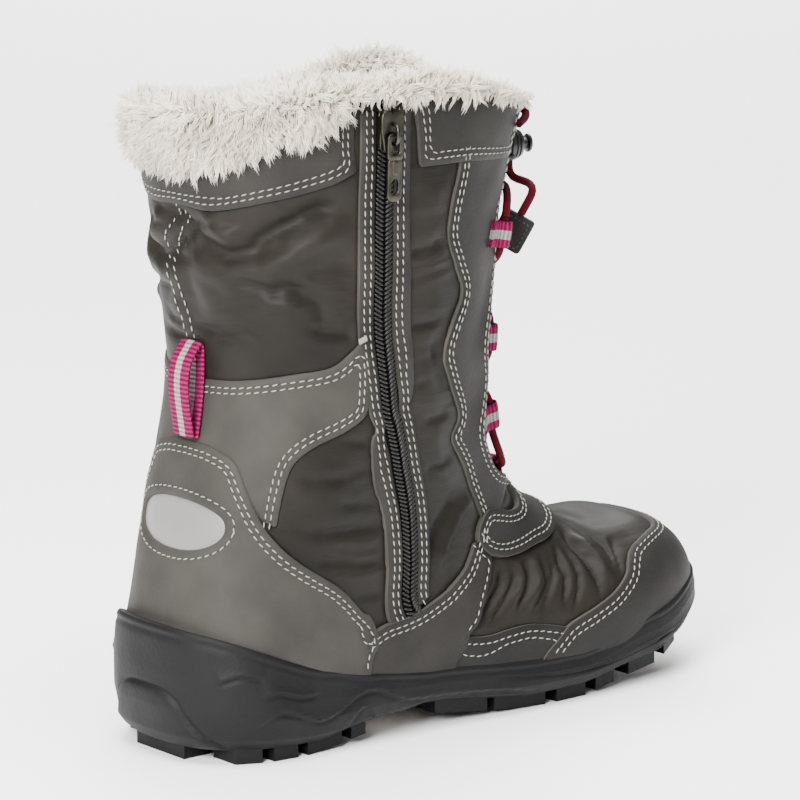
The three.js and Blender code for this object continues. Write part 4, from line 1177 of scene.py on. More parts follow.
def repeat_tree():
    tree, given = geometry_tree("repeat_along_path", {
        "Spacing": 0.003, "Length": 0.002, "Width": 0.0006, "Height": 0.0005, "Turn": 0.0, "Tilt": 0.0,
        "Shift": 0.0, "Lift": 0.0, "Unevenness": 0.05, "Seed": 0, "Sides": 6, "Rings": 5})
    curve = add(tree, "GeometryNodeMeshToCurve", {"Mesh": given["Geometry"]})
    steps = add(tree, "GeometryNodeResampleCurve", {"Curve": curve, "Length": given["Spacing"]},
                mode="LENGTH")
    out = stored(tree, "out")
    tangent = add(tree, "GeometryNodeInputTangent").outputs[0]
    side = vectors(tree, "CROSS_PRODUCT", out, tangent)
    sideways = vectors(tree, "SCALE", side, given["Shift"])
    upwards = vectors(tree, "SCALE", out, given["Lift"])
    offset = vectors(tree, "ADD", sideways, upwards)
    moved = add(tree, "GeometryNodeSetPosition", {"Geometry": steps, "Offset": offset})
    grain = add(tree, "GeometryNodeMeshUVSphere", {
        "Segments": given["Sides"], "Rings": given["Rings"], "Radius": 0.5})
    size = add(tree, "ShaderNodeCombineXYZ", {0: given["Length"], 1: given["Width"], 2: given["Height"]})
    shaped = add(tree, "GeometryNodeTransform", {"Geometry": grain, "Scale": size})
    facing = add(tree, "FunctionNodeAxesToRotation", {0: out, 1: tangent},
                 primary_axis="Z", secondary_axis="X")
    spread = maths(tree, "MULTIPLY", given["Unevenness"], -1.0)
    jitter = add(tree, "FunctionNodeRandomValue", {
        2: spread, 3: given["Unevenness"], "Seed": given["Seed"]}, data_type="FLOAT").outputs[1]
    about = maths(tree, "ADD", given["Turn"], jitter)
    euler = add(tree, "ShaderNodeCombineXYZ", {1: given["Tilt"], 2: about})
    turn_ = add(tree, "FunctionNodeEulerToRotation", {0: euler})
    turned = add(tree, "FunctionNodeRotateRotation", {0: facing, 1: turn_},
                 rotation_space="LOCAL")
    set_ = add(tree, "GeometryNodeInstanceOnPoints", {
        "Points": moved, "Instance": shaped, "Rotation": turned})
    real = add(tree, "GeometryNodeRealizeInstances", {0: set_})
    smooth = add(tree, "GeometryNodeSetShadeSmooth", {"Geometry": real})
    return hand_out(tree, smooth, given["Material"])


REPEAT = repeat_tree()


def grown(name, source, tree, values):
    """Runs a Geometry Nodes tree on an object and keeps the result as a plain mesh."""
    modifier = source.modifiers.new("grow", "NODES")
    modifier.node_group = tree
    for item in tree.interface.items_tree:
        if item.in_out == "INPUT" and item.name in values:
            modifier[item.identifier] = values[item.name]
    graph = bpy.context.evaluated_depsgraph_get()
    mesh = bpy.data.meshes.new_from_object(source.evaluated_get(graph), depsgraph=graph)
    mesh.name = name
    source.modifiers.remove(modifier)
    bpy.data.objects.remove(source)
    return add_object(name, mesh)


def paths_object(runs):
    """Polylines with the surface's outward direction stored on every point."""
    points = np.vstack([p for p, _ in runs]) * MM
    outs = np.vstack([o for _, o in runs])
    edges, start = [], 0
    for p, _ in runs:
        edges += [(start + i, start + i + 1) for i in range(len(p) - 1)]
        start += len(p)
    mesh = bpy.data.meshes.new("paths")
    mesh.from_pydata(points.tolist(), edges, [])
    attribute = mesh.attributes.new("out", "FLOAT_VECTOR", "POINT")
    attribute.data.foreach_set("vector", outs.ravel())
    return add_object("paths", mesh)


def repeated(name, runs, material, slot, **sizes):
    """One mesh of small pieces along all the runs; sizes in millimetres, turns in radians."""
    values = {"Material": material, "Seed": 5}
    for key, value in sizes.items():
        scale = 1 if key in ("Turn", "Tilt", "Unevenness") else MM
        values[key] = value if key in ("Sides", "Rings") else float(value * scale)
    obj = grown(name, paths_object(runs), REPEAT, values)
    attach(obj, BODY)
    return obj


# %% [markdown]
# ## Topstitching
# Every seam is sewn with two rows of thick off-white thread, about 2 and 4 mm inside the leather's
# cut edge. Each stitch is a slim grain of thread that leans a little. Between two stitches sits a
# small dark dot at the needle's hole: the hole is real, its darkness is painted shade.

# %% Stitch rows
STITCH = 2.9
thread = new_material("bonded_polyester_thread", "88857b", 0.6)[0]
# dark dots at the needle holes: painted shade inside the holes
hole = new_material("needle_hole", "15140f", 0.9)[0]
stitch_runs, hole_shade_runs = [], []


def sewn_row(path, distance):
    """A row beside a seam, cut back where it would run past a corner."""
    row = inset(path, distance) if distance else path
    points = on_last(*row.T)
    seam_points = on_last(*path.T)
    above = points[:, 2] > np.interp(points[:, 0], *SOLE_TOP.T) + 1.2
    row = row[above & (gaps_to(points, seam_points) > abs(distance) * 0.93 - 0.01)]
    row = resample(row, STITCH / 2)
    return row[:-1] if len(row) % 2 == 0 else row


def stitched(row, height):
    """Keeps a row of stitches, with a dark dot of painted shade at the needle hole between every two."""
    outs = outward(*row.T)
    points = on_last(*row.T) + outs * height[:, None]
    stitch_runs.append((points, outs))
    hole_shade_runs.append((points[1:-1], outs[1:-1]))


def sew(path, lift, distances=(2.1, 3.95), side=1, follow=0.3, rise=None):
    """Rows of stitches beside a seam; side 1 is to the left of the seam's direction."""
    for distance in distances:
        row = sewn_row(path, side * distance)
        stitched(row, leather_height(row, lift, follow, rise))


sew(both_backs(COUNTER_TOP[:-9]), 1.75, side=-1)
sew(wing_seam, 1.0, side=-1)
badge_seam = oval(24.4, 11.3)
sew(joined(badge_seam, badge_seam[:1]), 1.75, (0,))
sew(collar_seam, 1.2, side=-1)
sew(front_seam, 1.3, side=1)
sew(ZIP_BACK_EDGE, 0.9, (1.5, 3.7), side=-1, follow=0.1)
sew(ZIP_FRONT_EDGE, 0.9, (1.4, 3.6), side=1, follow=0.1)
for mirror, side in ((lambda p: p, 1), (over_front, -1)):
    sew(mirror(FACING_BACK), 1.0, (1.7, 3.7), side=side, rise=mirror(FACING_FRONT))
    sew(mirror(FACING_FRONT), 1.0, (1.7, 3.7), side=-side, rise=mirror(FACING_FRONT))
    sew(mirror(OVERLAY_TOP), 1.35, side=-side)
    sew(mirror(OVERLAY_EDGE), 1.35, (1.7,), side=-side)
    sew(mirror(FOXING_TOP), 0.95, side=-side)
for seam, lift, side in ((TAB_LOWER, 2.0, 1), (TAB_TOP, 2.0, -1), (TOE_TOP, 1.5, -1)):
    sew(both_fronts(seam), lift, side=side)
back_seam = track((-20, 0, 180), (-19, 3, 174), (-17, 9, 167), (-16, 8, 161), (-15, 6, 152), (-14, 4, 142),
                  (-14, 4, 134))


for distance in (-2.2, 2.2):
    nylon_row = resample(inset(back_seam, distance), STITCH / 2)
    stitched(nylon_row, puffed(*nylon_row.T))
stitches = repeated("topstitching", stitch_runs, thread, "upper_leather",
                    Spacing=STITCH, Length=2.25, Width=0.47, Height=0.44, Turn=0.12, Lift=0.12,
                    Unevenness=0.06)
# dark dots of painted shade at the needle holes
repeated("needle_holes", hole_shade_runs, hole, "upper_leather",
         Spacing=STITCH, Length=0.75, Width=0.6, Height=0.3, Lift=0.02, Sides=4, Rings=3)
# a bartack, a tight block of thread, ties the wing's tip to the zip's seam
tack = track((18.2, -43, 137.6), (20.6, -43, 138.6), spacing=0.4)
tack_out = outward(*tack.T)
repeated("wing_bartack", [(on_last(*tack.T) + tack_out * 2.0, tack_out)], thread, "upper_leather",
         Spacing=0.45, Length=2.4, Width=0.5, Height=0.7, Turn=1.4)
print("stitches", len(stitches.data.polygons), "faces,", len(stitch_runs), "rows")

# %% [markdown]
# ## The zip
# A coil zip is a woven tape with a plastic coil sewn to it. From outside one sees the coil as a
# fine herringbone with the sewing thread running down it. The repeat tree lays the two halves
# of the coil as slanted grains, mirror images of each other.

# %% Tape and coil
ZIP_LONG = track(*[(x, -44 if z > 100 else -38, z) for x, z in [*ZIP_MARKS, (46.4, 40)]], spacing=1.0)


def ribbon_on_last(name, path, half_width, lift, material, columns=5):
    """A strip laid along a path of places, its two edges a little lower."""
    offs = np.linspace(-half_width, half_width, columns)
    lanes = [inset(path, d) if d else path for d in offs]
    rows_ = [raised(*lane.T, np.full(len(lane), lift - 0.12 * (abs(d) > half_width - 0.1)))
             for lane, d in zip(lanes, offs)]
    points = np.vstack(rows_)
    return make_mesh(name, points, quads(columns, len(path)), material)


def woven(name, dark, light, pitch_mm, roughness=0.85, **shader):
    # a close weave: two crossing waves, one thread apart; the gaps between threads are painted darker, as
    # painted shade
    material, tree, surface = new_material(name, light, roughness, **shader)
    place_ = object_place(tree)
    waves = [add(tree, "ShaderNodeTexWave", {"Vector": place_, "Scale": 1000 / pitch_mm / 6.28,
                                             "Distortion": 0.3}, bands_direction=axis).outputs["Fac"]
             for axis in ("X", "Z")]
    weave = maths(tree, "MULTIPLY", waves[0], waves[1])
    mixed = maths(tree, "ADD", weave, noise(tree, place_, 1.5, 4))
    # low places of the weave get the dark colour: painted shade between the threads, with random tone from
    # the noise
    tint(tree, surface, mixed, dark, light, 0.4, 1.1)
    bumped(tree, surface, weave, 0.0001, 0.7)
    return material


TAPE = woven("polyester_zip_tape", "030302", "080707", 0.6, 0.9, specular_ior_level=0.1)
zip_tape = ribbon_on_last("zip_tape", ZIP_LONG, 5.2, 0.35, TAPE)
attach(zip_tape, BODY)
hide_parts("zip_chain")
# nylon monofilament: dark, with a small bright line of gloss on each turn
coil = new_material("nylon_zip_coil", "0d0b0a", 0.42, specular_ior_level=0.3)[0]
zip_thread = new_material("zip_sewing_thread", "1d1b19", 0.7, specular_ior_level=0.2)[0]


def run_of(path, lift, step):
    even = resample(path, step)
    outs = outward(*even.T)
    return on_last(*even.T) + outs * lift, outs


zip_run = run_of(ZIP_LONG[:-3], 0.35, 1.0)
for label, side in (("front", 1), ("back", -1)):
    repeated("zip_coil_" + label, [zip_run], coil, "zip_coil", Spacing=1.5, Length=4.3, Width=1.15,
             Height=1.2, Turn=-side * 0.95, Shift=side * 1.8, Lift=0.62, Unevenness=0.02)
    repeated("zip_chain_stitch_" + label, [zip_run], zip_thread, "zip_coil", Spacing=1.5, Length=1.3,
             Width=0.3, Height=0.26, Shift=side * 1.9, Lift=1.2, Unevenness=0.05)
print("zip", len(zip_run[0]), "mm of coil")

# %% [markdown]
# The slider and its pull are zinc castings with a dark plated finish. Each part is a flat
# outline with its edges rounded over, made as a filled curve with a bevel, because that keeps
# holes and corners crisp. The pull swings on the slider's bridge, so it rides on its own body.

# %% Cast metal
def cast_metal():
    # zinc, plated dark: clear highlights, softened by fine scratches about 0.2 mm wide
    material, tree, surface = new_material("gunmetal_plated_zinc", "45443b", 0.34, metallic=1.0)
    place_ = object_place(tree)
    wear = noise(tree, place_, 3, 5)
    tint(tree, surface, wear, "2a2924", "48463f")
    uneven_gloss(tree, surface, noise(tree, place_, 0.4, 3), 0.26, 0.46)
    bumped(tree, surface, wear, 0.00008, 0.4)
    return material


METAL = cast_metal()


def placed(point, out, up):
    """Right, up, out axes at a point, as a matrix in metres."""
    right = unit(np.cross(up, out))
    matrix = Matrix([[*row, 0] for row in np.stack([right, np.cross(out, right), out], 1)] + [[0, 0, 0, 1]])
    matrix.translation = Vector(np.asarray(point) * MM)
    return matrix


def as_mesh(obj, name, matrix=None):
    """A curve or modified object turned into a plain mesh at its place."""
    graph = bpy.context.evaluated_depsgraph_get()
    mesh = bpy.data.meshes.new_from_object(obj.evaluated_get(graph), depsgraph=graph)
    if matrix:
        mesh.transform(matrix)
    bpy.data.objects.remove(obj)
    mesh.name = name
    mended(mesh)
    return add_object(name, mesh)


def rounded(width, low, high, corner, steps=6):
    """A plate's outline with round corners."""
    half = width / 2
    corners = [(half - corner, low + corner, -90), (half - corner, high - corner, 0),
               (-half + corner, high - corner, 90), (-half + corner, low + corner, 180)]
    return [(x + corner * math.cos(math.radians(a + 90 * k / steps)),
             y + corner * math.sin(math.radians(a + 90 * k / steps)))
            for x, y, a in corners for k in range(steps + 1)]


def flat_plate(name, rings, low, high, bevel, matrix, material):
    """A plate between two heights with its edges rounded over."""
    data = bpy.data.curves.new(name, "CURVE")
    data.dimensions, data.fill_mode = "2D", "BOTH"
    data.extrude = ((high - low) / 2 - bevel) * MM
    data.bevel_depth, data.bevel_resolution, data.offset = bevel * MM, 2, -bevel * MM
    for ring in rings:
        spline = data.splines.new("POLY")
        spline.points.add(len(ring) - 1)
        for point, (x, y) in zip(spline.points, ring):
            point.co = (x * MM, y * MM, 0, 1)
        spline.use_cyclic_u = True
    data.materials.append(material)
    return as_mesh(add_object(name, data), name, matrix @ Matrix.Translation((0, 0, (low + high) / 2 * MM)))


def merged(name, parts):
    """Several meshes as one object, each keeping its material."""
    bm = bmesh.new()
    materials = []
    for part in parts:
        first = len(bm.faces)
        bm.from_mesh(part.data)
        bm.faces.ensure_lookup_table()
        own = [materials.index(m) if m in materials else (materials.append(m) or len(materials) - 1)
               for m in part.data.materials]
        for face in bm.faces[first:]:
            face.material_index = own[min(face.material_index, len(own) - 1)]
            face.smooth = True
        bpy.data.objects.remove(part)
    mesh = bpy.data.meshes.new(name)
    bm.to_mesh(mesh)
    bm.free()
    for m in materials:
        mesh.materials.append(m)
    mesh.set_sharp_from_angle(angle=math.radians(40))
    return add_object(name, mesh)


slider_frame = placed(*spot(*places([(26, -46, 206.5)])[0]))


def local_tube(name, points, radius, matrix, material):
    mm_points = np.array([matrix @ Vector(np.array(p) * MM) for p in points]) / MM
    return as_mesh(tube(name, [centripetal(mm_points, 6)], material, radius), name)


half_shield = [(2.2, -7), (3.0, -6.4), (3.4, -4), (4.2, -0.5), (4.3, 4.2), (3.6, 6), (2.2, 6.5), (0.7, 5.9)]
shield = half_shield + [(0, 5.2)] + [(-x, y) for x, y in half_shield[::-1]]
slider = merged("zip_slider_body", [
    flat_plate("top_plate", [shield], 2.9, 4.6, 0.45, slider_frame, METAL),
    flat_plate("under_plate", [[(x * 0.93, y) for x, y in shield]], 0.9, 2.0, 0.3, slider_frame, METAL),
    *(flat_plate("flange", [rounded(1.1, -5.8, 4.4, 0.5)], 1.4, 3.6, 0.3,
                 slider_frame @ Matrix.Translation((x, 0, 0)), METAL) for x in (-0.0036, 0.0036)),
    local_tube("bridge", [(0, -4.3, 3.9), (0, -4.2, 6.4), (0, -3.0, 7.55), (0, -1.3, 7.7), (0, 0.6, 7.5),
                          (0, 1.8, 6.2), (0, 1.9, 3.9)], 0.62, slider_frame, METAL)])
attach(slider, BODY)
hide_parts("zip_slider")
pull = merged("zip_pull_tab", [
    flat_plate("pull_head", [rounded(6, -9.6, -0.9, 1.6), rounded(3, -7.6, -2.3, 0.9)], 5.2, 6.6, 0.42,
               slider_frame, METAL),
    flat_plate("pull_blade", [rounded(5.4, -22.8, -8.4, 2.0), rounded(2.6, -20.4, -15.6, 1.2)], 5.25, 6.55,
               0.42, slider_frame, METAL),
    flat_plate("pull_rib", [rounded(2.4, -14.2, -9.6, 0.8)], 5.0, 6.85, 0.3, slider_frame, METAL)])
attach(pull, "pull_tab")
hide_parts("zip_pull")
print("slider and pull:", len(slider.data.polygons) + len(pull.data.polygons), "faces")


# %% [markdown]
# ## Webbing loops
# The heel's pull loop and the lace loops are narrow grosgrain: pink ribs across, with a silvery
# stripe down the middle. A band is a strip with its own UV map, across and along in
# millimetres, so that ribs and stripe follow every fold. The place that carried lettering on the
# lowest loop is left plain.

# %% Grosgrain
def grosgrain():
    # ribs 1.5 mm apart; each rib's crown is painted lighter and its valley darker: painted highlight and
    # painted shade
    material, tree, surface = new_material("polyester_grosgrain_pink", "c2255b", 0.7, specular_ior_level=0.12)
    uv = add(tree, "ShaderNodeUVMap", {}, uv_map="band")
    parts = add(tree, "ShaderNodeSeparateXYZ", {0: uv})
    along = maths(tree, "MULTIPLY", parts.outputs[1], 2 * math.pi / 1.5)
    rib = maths(tree, "SINE", along)
    grain = add(tree, "ShaderNodeMapping", {"Vector": uv, "Scale": (2.2, 0.7, 1)})
    fibre = add(tree, "ShaderNodeTexNoise", {"Vector": grain, "Scale": 1.6, "Detail": 3.0})
    wavy = maths(tree, "SUBTRACT", fibre.outputs["Fac"], 0.5)
    shaky = maths(tree, "MULTIPLY_ADD", wavy, 0.5, parts)
    off = maths(tree, "ABSOLUTE", shaky)
    stripe = maths(tree, "LESS_THAN", off, 1.5)
    # painted highlight on the rib crowns and painted shade in the valleys, over the fibres' random tone
    shade = maths(tree, "MULTIPLY_ADD", rib, 0.25, fibre.outputs["Fac"])
    pink = ramped(tree, shade, "38001e", "820044", 0.2, 0.75)
    silver = ramped(tree, shade, "5a5755", "94908e", 0.2, 0.75)
    mix = add(tree, "ShaderNodeMix", {0: stripe, 6: pink, 7: silver}, data_type="RGBA")
    feed(surface, "Base Color", mix.outputs[2])
    bumped(tree, surface, rib, 0.0002, 0.7)
    return material


WEBBING = grosgrain()


def band(name, path, across_, width, thick, material, columns=9):
    """A strip of webbing along a path (mm), with a UV map in millimetres and a closed edge."""
    path = np.asarray(path, float)
    across_ = np.broadcast_to(unit(np.asarray(across_, float)), path.shape)
    along = unit(np.gradient(path, axis=0))
    normal = np.cross(along, across_)
    run = run_along(path)
    shares = np.linspace(-1, 1, columns)
    profile = [(s * width / 2, thick / 2 * (1 - 0.55 * abs(s) ** 6)) for s in shares]
    profile += [(x, -z) for x, z in profile[::-1]]
    count = len(profile)
    points = np.vstack([path + across_ * x + normal * z for x, z in profile])
    n = len(path)
    faces, uvs = [], []
    for k in range(count):
        m = (k + 1) % count
        for i in range(n - 1):
            faces.append((k * n + i, k * n + i + 1, m * n + i + 1, m * n + i))
            uvs += [(profile[k][0], run[i]), (profile[k][0], run[i + 1]),
                    (profile[m][0], run[i + 1]), (profile[m][0], run[i])]
    for i in (0, n - 1):
        ring = [k * n + i for k in range(count)]
        faces.append(ring if i else ring[::-1])
        uvs += [(profile[k][0], run[i]) for k in (range(count) if i else reversed(range(count)))]
    obj = make_mesh(name, points, faces, material)
    layer = obj.data.uv_layers.new(name="band")
    layer.data.foreach_set("uv", np.array(uvs).ravel())
    mended(obj.data, weld=False)
    return obj


# %% The pull loop at the back
def back_spot(height, out):
    return raised(row_at_height(height, np.pi), np.pi, out)


LOOP_LOW, LOOP_HIGH = 104, 134
loop_path = [back_spot(LOOP_LOW + (LOOP_HIGH - LOOP_LOW) * i / 8, 1.6) for i in range(9)]
loop_path.append(back_spot(LOOP_HIGH + 1.4, 2.3))
loop_path += [back_spot(LOOP_HIGH - (LOOP_HIGH - LOOP_LOW) * s, 3.3 + 4.7 * math.sin(math.pi * s**0.7))
              for s in np.linspace(0.02, 1, 10)]
loop_band = band("heel_pull_loop", centripetal(loop_path, 5), (0, 1, 0), 10.5, 1.25, WEBBING)
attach(loop_band, BODY)
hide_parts("pull_loop")

# %% The lace loops
def lace_loop(name, point, inwards, out, up, width=LOOP_WIDTH):
    """A folded band: two layers sewn under the facing and a round eye for the cord."""
    turns = np.radians(np.linspace(-90, 160, 14))
    middle = LOOP_LIFT + LOOP_OUTER
    a = [(-4, 1.05), (0, 1.05), (4, 1.05)] + [(LOOP_REACH + 2.65 * math.cos(t), middle + 2.65 * math.sin(t))
                                              for t in turns] + [(2.6, 2.9), (0, 2.1), (-4, 2.0)]
    path = [point + inwards * x + out * z for x, z in a]
    obj = band(name + "_band", centripetal(path, 3), up, width, 0.85, WEBBING)
    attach(obj, BODY)
    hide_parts(name)
    return obj


for (side, label), frame_ in loops.items():
    lace_loop(f"lace_loop_{'medial' if side < 0 else 'lateral'}_{label}", *frame_)
lace_loop("throat_loop", throat_point, throat_up, throat_out, np.array([0.0, 1, 0]))
print("webbing done")


# %% [markdown]
# ## The cord lock and the leather tab
# The lock is a black acetal barrel, turned on its side, with a sprung button at its outer end.
# A lathe profile gives the barrel its rims and grip grooves. The two holes have small collars
# where the cords go in. The tab is two layers of leather glued round the cord's ends and sewn.

# %% Moulded plastic
def moulded(name, dark, light, roughness):
    # spark-eroded mould: an even satin with specks about 0.3 mm across
    material, tree, surface = new_material(name, dark, roughness, specular_ior_level=0.5)
    place_ = object_place(tree)
    tint(tree, surface, noise(tree, place_, 4, 4), dark, light)
    bumped(tree, surface, noise(tree, place_, 0.35, 2), 0.00005, 0.6)
    return material


ACETAL = moulded("acetal_black", "060606", "0d0d0e", 0.4)


def turned(name, profile, matrix, material, sides=40):
    """A lathe shape: profile is (radius, height) along the axis out of the frame."""
    angles_ = np.linspace(0, 2 * np.pi, sides, endpoint=False)
    points = [matrix @ Vector((r * math.cos(a) * MM, r * math.sin(a) * MM, h * MM)) / MM
              for a in angles_ for r, h in profile]
    obj = make_mesh(name, points, quads(sides, len(profile), wrap_rows=1, flip=True), material)
    mended(obj.data)
    return obj


lock_frame = placed(LOCK_CENTRE, LOCK_OUT, np.array([0, 0, 1.0]))
half = [(0, -4.4), (3.4, -4.4), (3.9, -4.25), (4.5, -3.9), (5.0, -3.0), (5.2, -2.6), (4.9, -2.3),
        (5.35, -2.0), (5.45, -1.3), (5.15, -1.0), (5.55, -0.7), (5.6, 0), (5.55, 0.7), (5.15, 1.0),
        (5.45, 1.3), (5.35, 2.0), (4.9, 2.3), (5.2, 2.6), (5.0, 3.0), (4.5, 3.9), (3.9, 4.25), (2.6, 4.4),
        (2.4, 4.2), (2.4, 1.4), (0, 1.3)]
COLLAR_PROFILE = [(1.6, -1.2), (2.3, -1.0), (2.5, 0), (2.3, 0.55), (1.9, 0.7), (1.5, 0.5), (1.45, -0.6)]
collars = []
for side in (-1, 1):
    for height, sign in ((4.3, 1), (-4.3, -1)):
        ring_frame = placed(LOCK_CENTRE + LOCK_RIGHT * side * 2.6 - LOCK_OUT * 1.2
                            + np.array([0, 0, height]), np.array([0, 0, sign * 1.0]), LOCK_OUT)
        collars.append(turned("collar", COLLAR_PROFILE, ring_frame, ACETAL, 20))
lock = merged("cord_lock_barrel", [turned("barrel", half, lock_frame, ACETAL, 48), *collars])
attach(lock, BODY)
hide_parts("cord_lock")
button = merged("cord_lock_push_button", [turned("button", [
    (0, 3.4), (1.7, 3.4), (1.9, 3.7), (1.9, 6.4), (2.9, 6.5), (3.2, 6.8), (3.2, 7.4), (2.9, 7.8), (2.0, 7.9),
    (1.4, 7.75), (0, 7.65)], lock_frame, ACETAL, 32)])
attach(button, "lock_button")
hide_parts("cord_lock_button")

# %% The tab
tab_frame = placed(TAB_CENTRE, TAB_OUT, np.array([0, 0, 1.0])) @ Matrix.Rotation(TAB_LEAN, 4, "Z")
tab = merged("lace_end_tab", [
    flat_plate("tab_leather", [rounded(11.5, -6.2, 6.2, 1.3)], low, high, 0.4, tab_frame, LEATHER_FRONT)
    for low, high in ((0.05, 1.5), (-1.5, -0.05))])
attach(tab, BODY)
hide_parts("lace_tab")
tab_runs = []
for face_side in (1, -1):
    ring = rounded(8.6, -4.7, 4.7, 0.9, 3)
    ring.append(ring[0])
    pts = np.array([tab_frame @ Vector((x * MM, y * MM, face_side * 1.5 * MM)) for x, y in ring]) / MM
    tab_runs.append((pts, np.tile(TAB_OUT * face_side, (len(pts), 1))))
tab_thread = new_material("dark_tab_thread", "2b2a27", 0.6)[0]
repeated("tab_stitches", tab_runs, tab_thread, "tab_leather", Spacing=1.6, Length=1.2, Width=0.4, Height=0.34,
         Lift=0.05)
print("lock and tab done")


# %% [markdown]
# ## The fur cuff
# The cuff is deep-pile fleece sewn over the rim. Its pile stands in small locks that lean
# together in soft clumps, outwards and down on the outside. A skin gives the cuff its plump,
# uneven body. On it Geometry Nodes scatter small locks of five hairs, steered by a comb direction
# that is stored on the skin and by slow noise that makes the clumps.

# %% Pile
def pile():
    # polyester pile: matt and warm white
    material, tree, surface = new_material("deep_pile_fleece", "e9e4da", 0.85, sheen_weight=0.4)
    place_ = object_place(tree)
    tint(tree, surface, noise(tree, place_, 7, 5), "c2b6a3", "e9dfcd", 0.3, 0.6)
    return material


PILE = pile()
# the backing is real, but it is drawn darker than the pile as painted shade among the hair roots
UNDERFUR_SHADED = woven("fleece_backing_shaded", "8f877b", "b8b0a4", 1.4, 0.95)


def one_lock():
    """Five thin hairs that start apart and lean together, as one small mesh 1 m long."""
    rng = np.random.default_rng(4)
    points, faces = [], []
    for k in range(5):
        a = k * 2 * np.pi / 5 + rng.uniform(-0.4, 0.4)
        root = np.array([math.cos(a), math.sin(a), 0]) * rng.uniform(0.06, 0.15)
        tip = np.array([rng.uniform(-0.04, 0.04) + 0.18, rng.uniform(-0.07, 0.07), rng.uniform(0.75, 1.05)])
        bow = np.array([-0.09 + rng.uniform(-0.05, 0.05), rng.uniform(-0.08, 0.08), 0.02])
        middle = (root + tip) / 2 + bow
        first = len(points)
        for centre, radius in ((root, 0.044), (middle, 0.033)):
            for j in range(3):
                b = j * 2 * np.pi / 3 + k
                points.append(centre + np.array([math.cos(b), math.sin(b), 0]) * radius)
        points.append(tip)
        for j in range(3):
            m = (j + 1) % 3
            faces.append((first + j, first + m, first + 3 + m, first + 3 + j))
            faces.append((first + 3 + j, first + 3 + m, first + 6))
    mesh = bpy.data.meshes.new("fur_lock")
    mesh.from_pydata([tuple(p) for p in points], [], faces)
    mesh.polygons.foreach_set("use_smooth", [True] * len(faces))
    return add_object("fur_lock", mesh)


def fur_tree(lock_object):
    tree, given = geometry_tree("scatter_locks", {
        "Density": 1e6, "Length": 0.007, "Clumping": 0.8, "Clump Size": 0.006, "Comb": 0.5, "Seed": 0})
    spread = add(tree, "GeometryNodeDistributePointsOnFaces", {
        "Mesh": given["Geometry"], "Density": given["Density"], "Seed": given["Seed"]})
    here = add(tree, "GeometryNodeInputPosition")
    per_clump = maths(tree, "DIVIDE", 1.0, given["Clump Size"])
    slow = add(tree, "ShaderNodeTexNoise", {"Vector": here, "Scale": per_clump, "Detail": 2.0})
    centred = vectors(tree, "SUBTRACT", slow.outputs["Color"], (0.5, 0.5, 0.5))
    strong = maths(tree, "MULTIPLY", given["Clumping"], 4.0)
    clump = vectors(tree, "SCALE", centred, strong)
    wild = add(tree, "FunctionNodeRandomValue", {0: (-0.34,) * 3, 1: (0.34,) * 3, "Seed": given["Seed"]},
               data_type="FLOAT_VECTOR").outputs[0]
    combed = vectors(tree, "SCALE", stored(tree, "comb"), given["Comb"])
    sums = spread.outputs["Normal"]
    for part in (combed, clump, wild):
        sums = vectors(tree, "ADD", sums, part)
    facing = add(tree, "FunctionNodeAxesToRotation", {0: sums, 1: wild},
                 primary_axis="Z", secondary_axis="X")
    uneven = add(tree, "FunctionNodeRandomValue", {2: 0.75, 3: 1.2, "Seed": given["Seed"]},
                 data_type="FLOAT").outputs[1]
    long_ = maths(tree, "MULTIPLY_ADD", slow.outputs["Fac"], 1.1, 0.45)
    scale = uneven
    for factor in (long_, given["Length"], stored(tree, "pile", "FLOAT")):
        scale = maths(tree, "MULTIPLY", scale, factor)
    info = add(tree, "GeometryNodeObjectInfo", {"Object": lock_object})
    set_ = add(tree, "GeometryNodeInstanceOnPoints", {
        "Points": spread.outputs["Points"], "Instance": info.outputs["Geometry"], "Rotation": facing,
        "Scale": scale})
    real = add(tree, "GeometryNodeRealizeInstances", {0: set_})
    return hand_out(tree, real, given["Material"])


# %% The cuff's skin
CUFF_DEGREES = [-180, -150, -135, -121, -112, -90, -70, -45, 45, 70, 90, 135, 180]
CUFF_DROPS = [17, 14.5, 9.5, 7.5, 0, 0, 0.6, 1, 1, 3.5, 4, 9, 17]
# how high the pile's tips stand, in millimetres above the floor
TIP_DEGREES = [-180, -150, -125, -90, -60, -45, -30, -8, 10, 20, 27, 46, 53, 66, 78, 88, 96, 116, 135,
               153, 180]
TIP_HEIGHTS = [217, 222, 228, 228, 217, 212, 209, 208.5, 209.5, 212, 217, 225, 223.5, 220, 215, 212,
               210.5, 214, 217.5, 220, 217]


def cuff_point(angle, out, height):
    rim = rim_row(angle)
    low = np.minimum(height, 0)
    base = on_last(rim - low / 21, angle)
    return base + outward(rim - low / 21, angle) * out[..., None] + np.stack(
        [0 * height, 0 * height, np.maximum(height, 0)], -1)


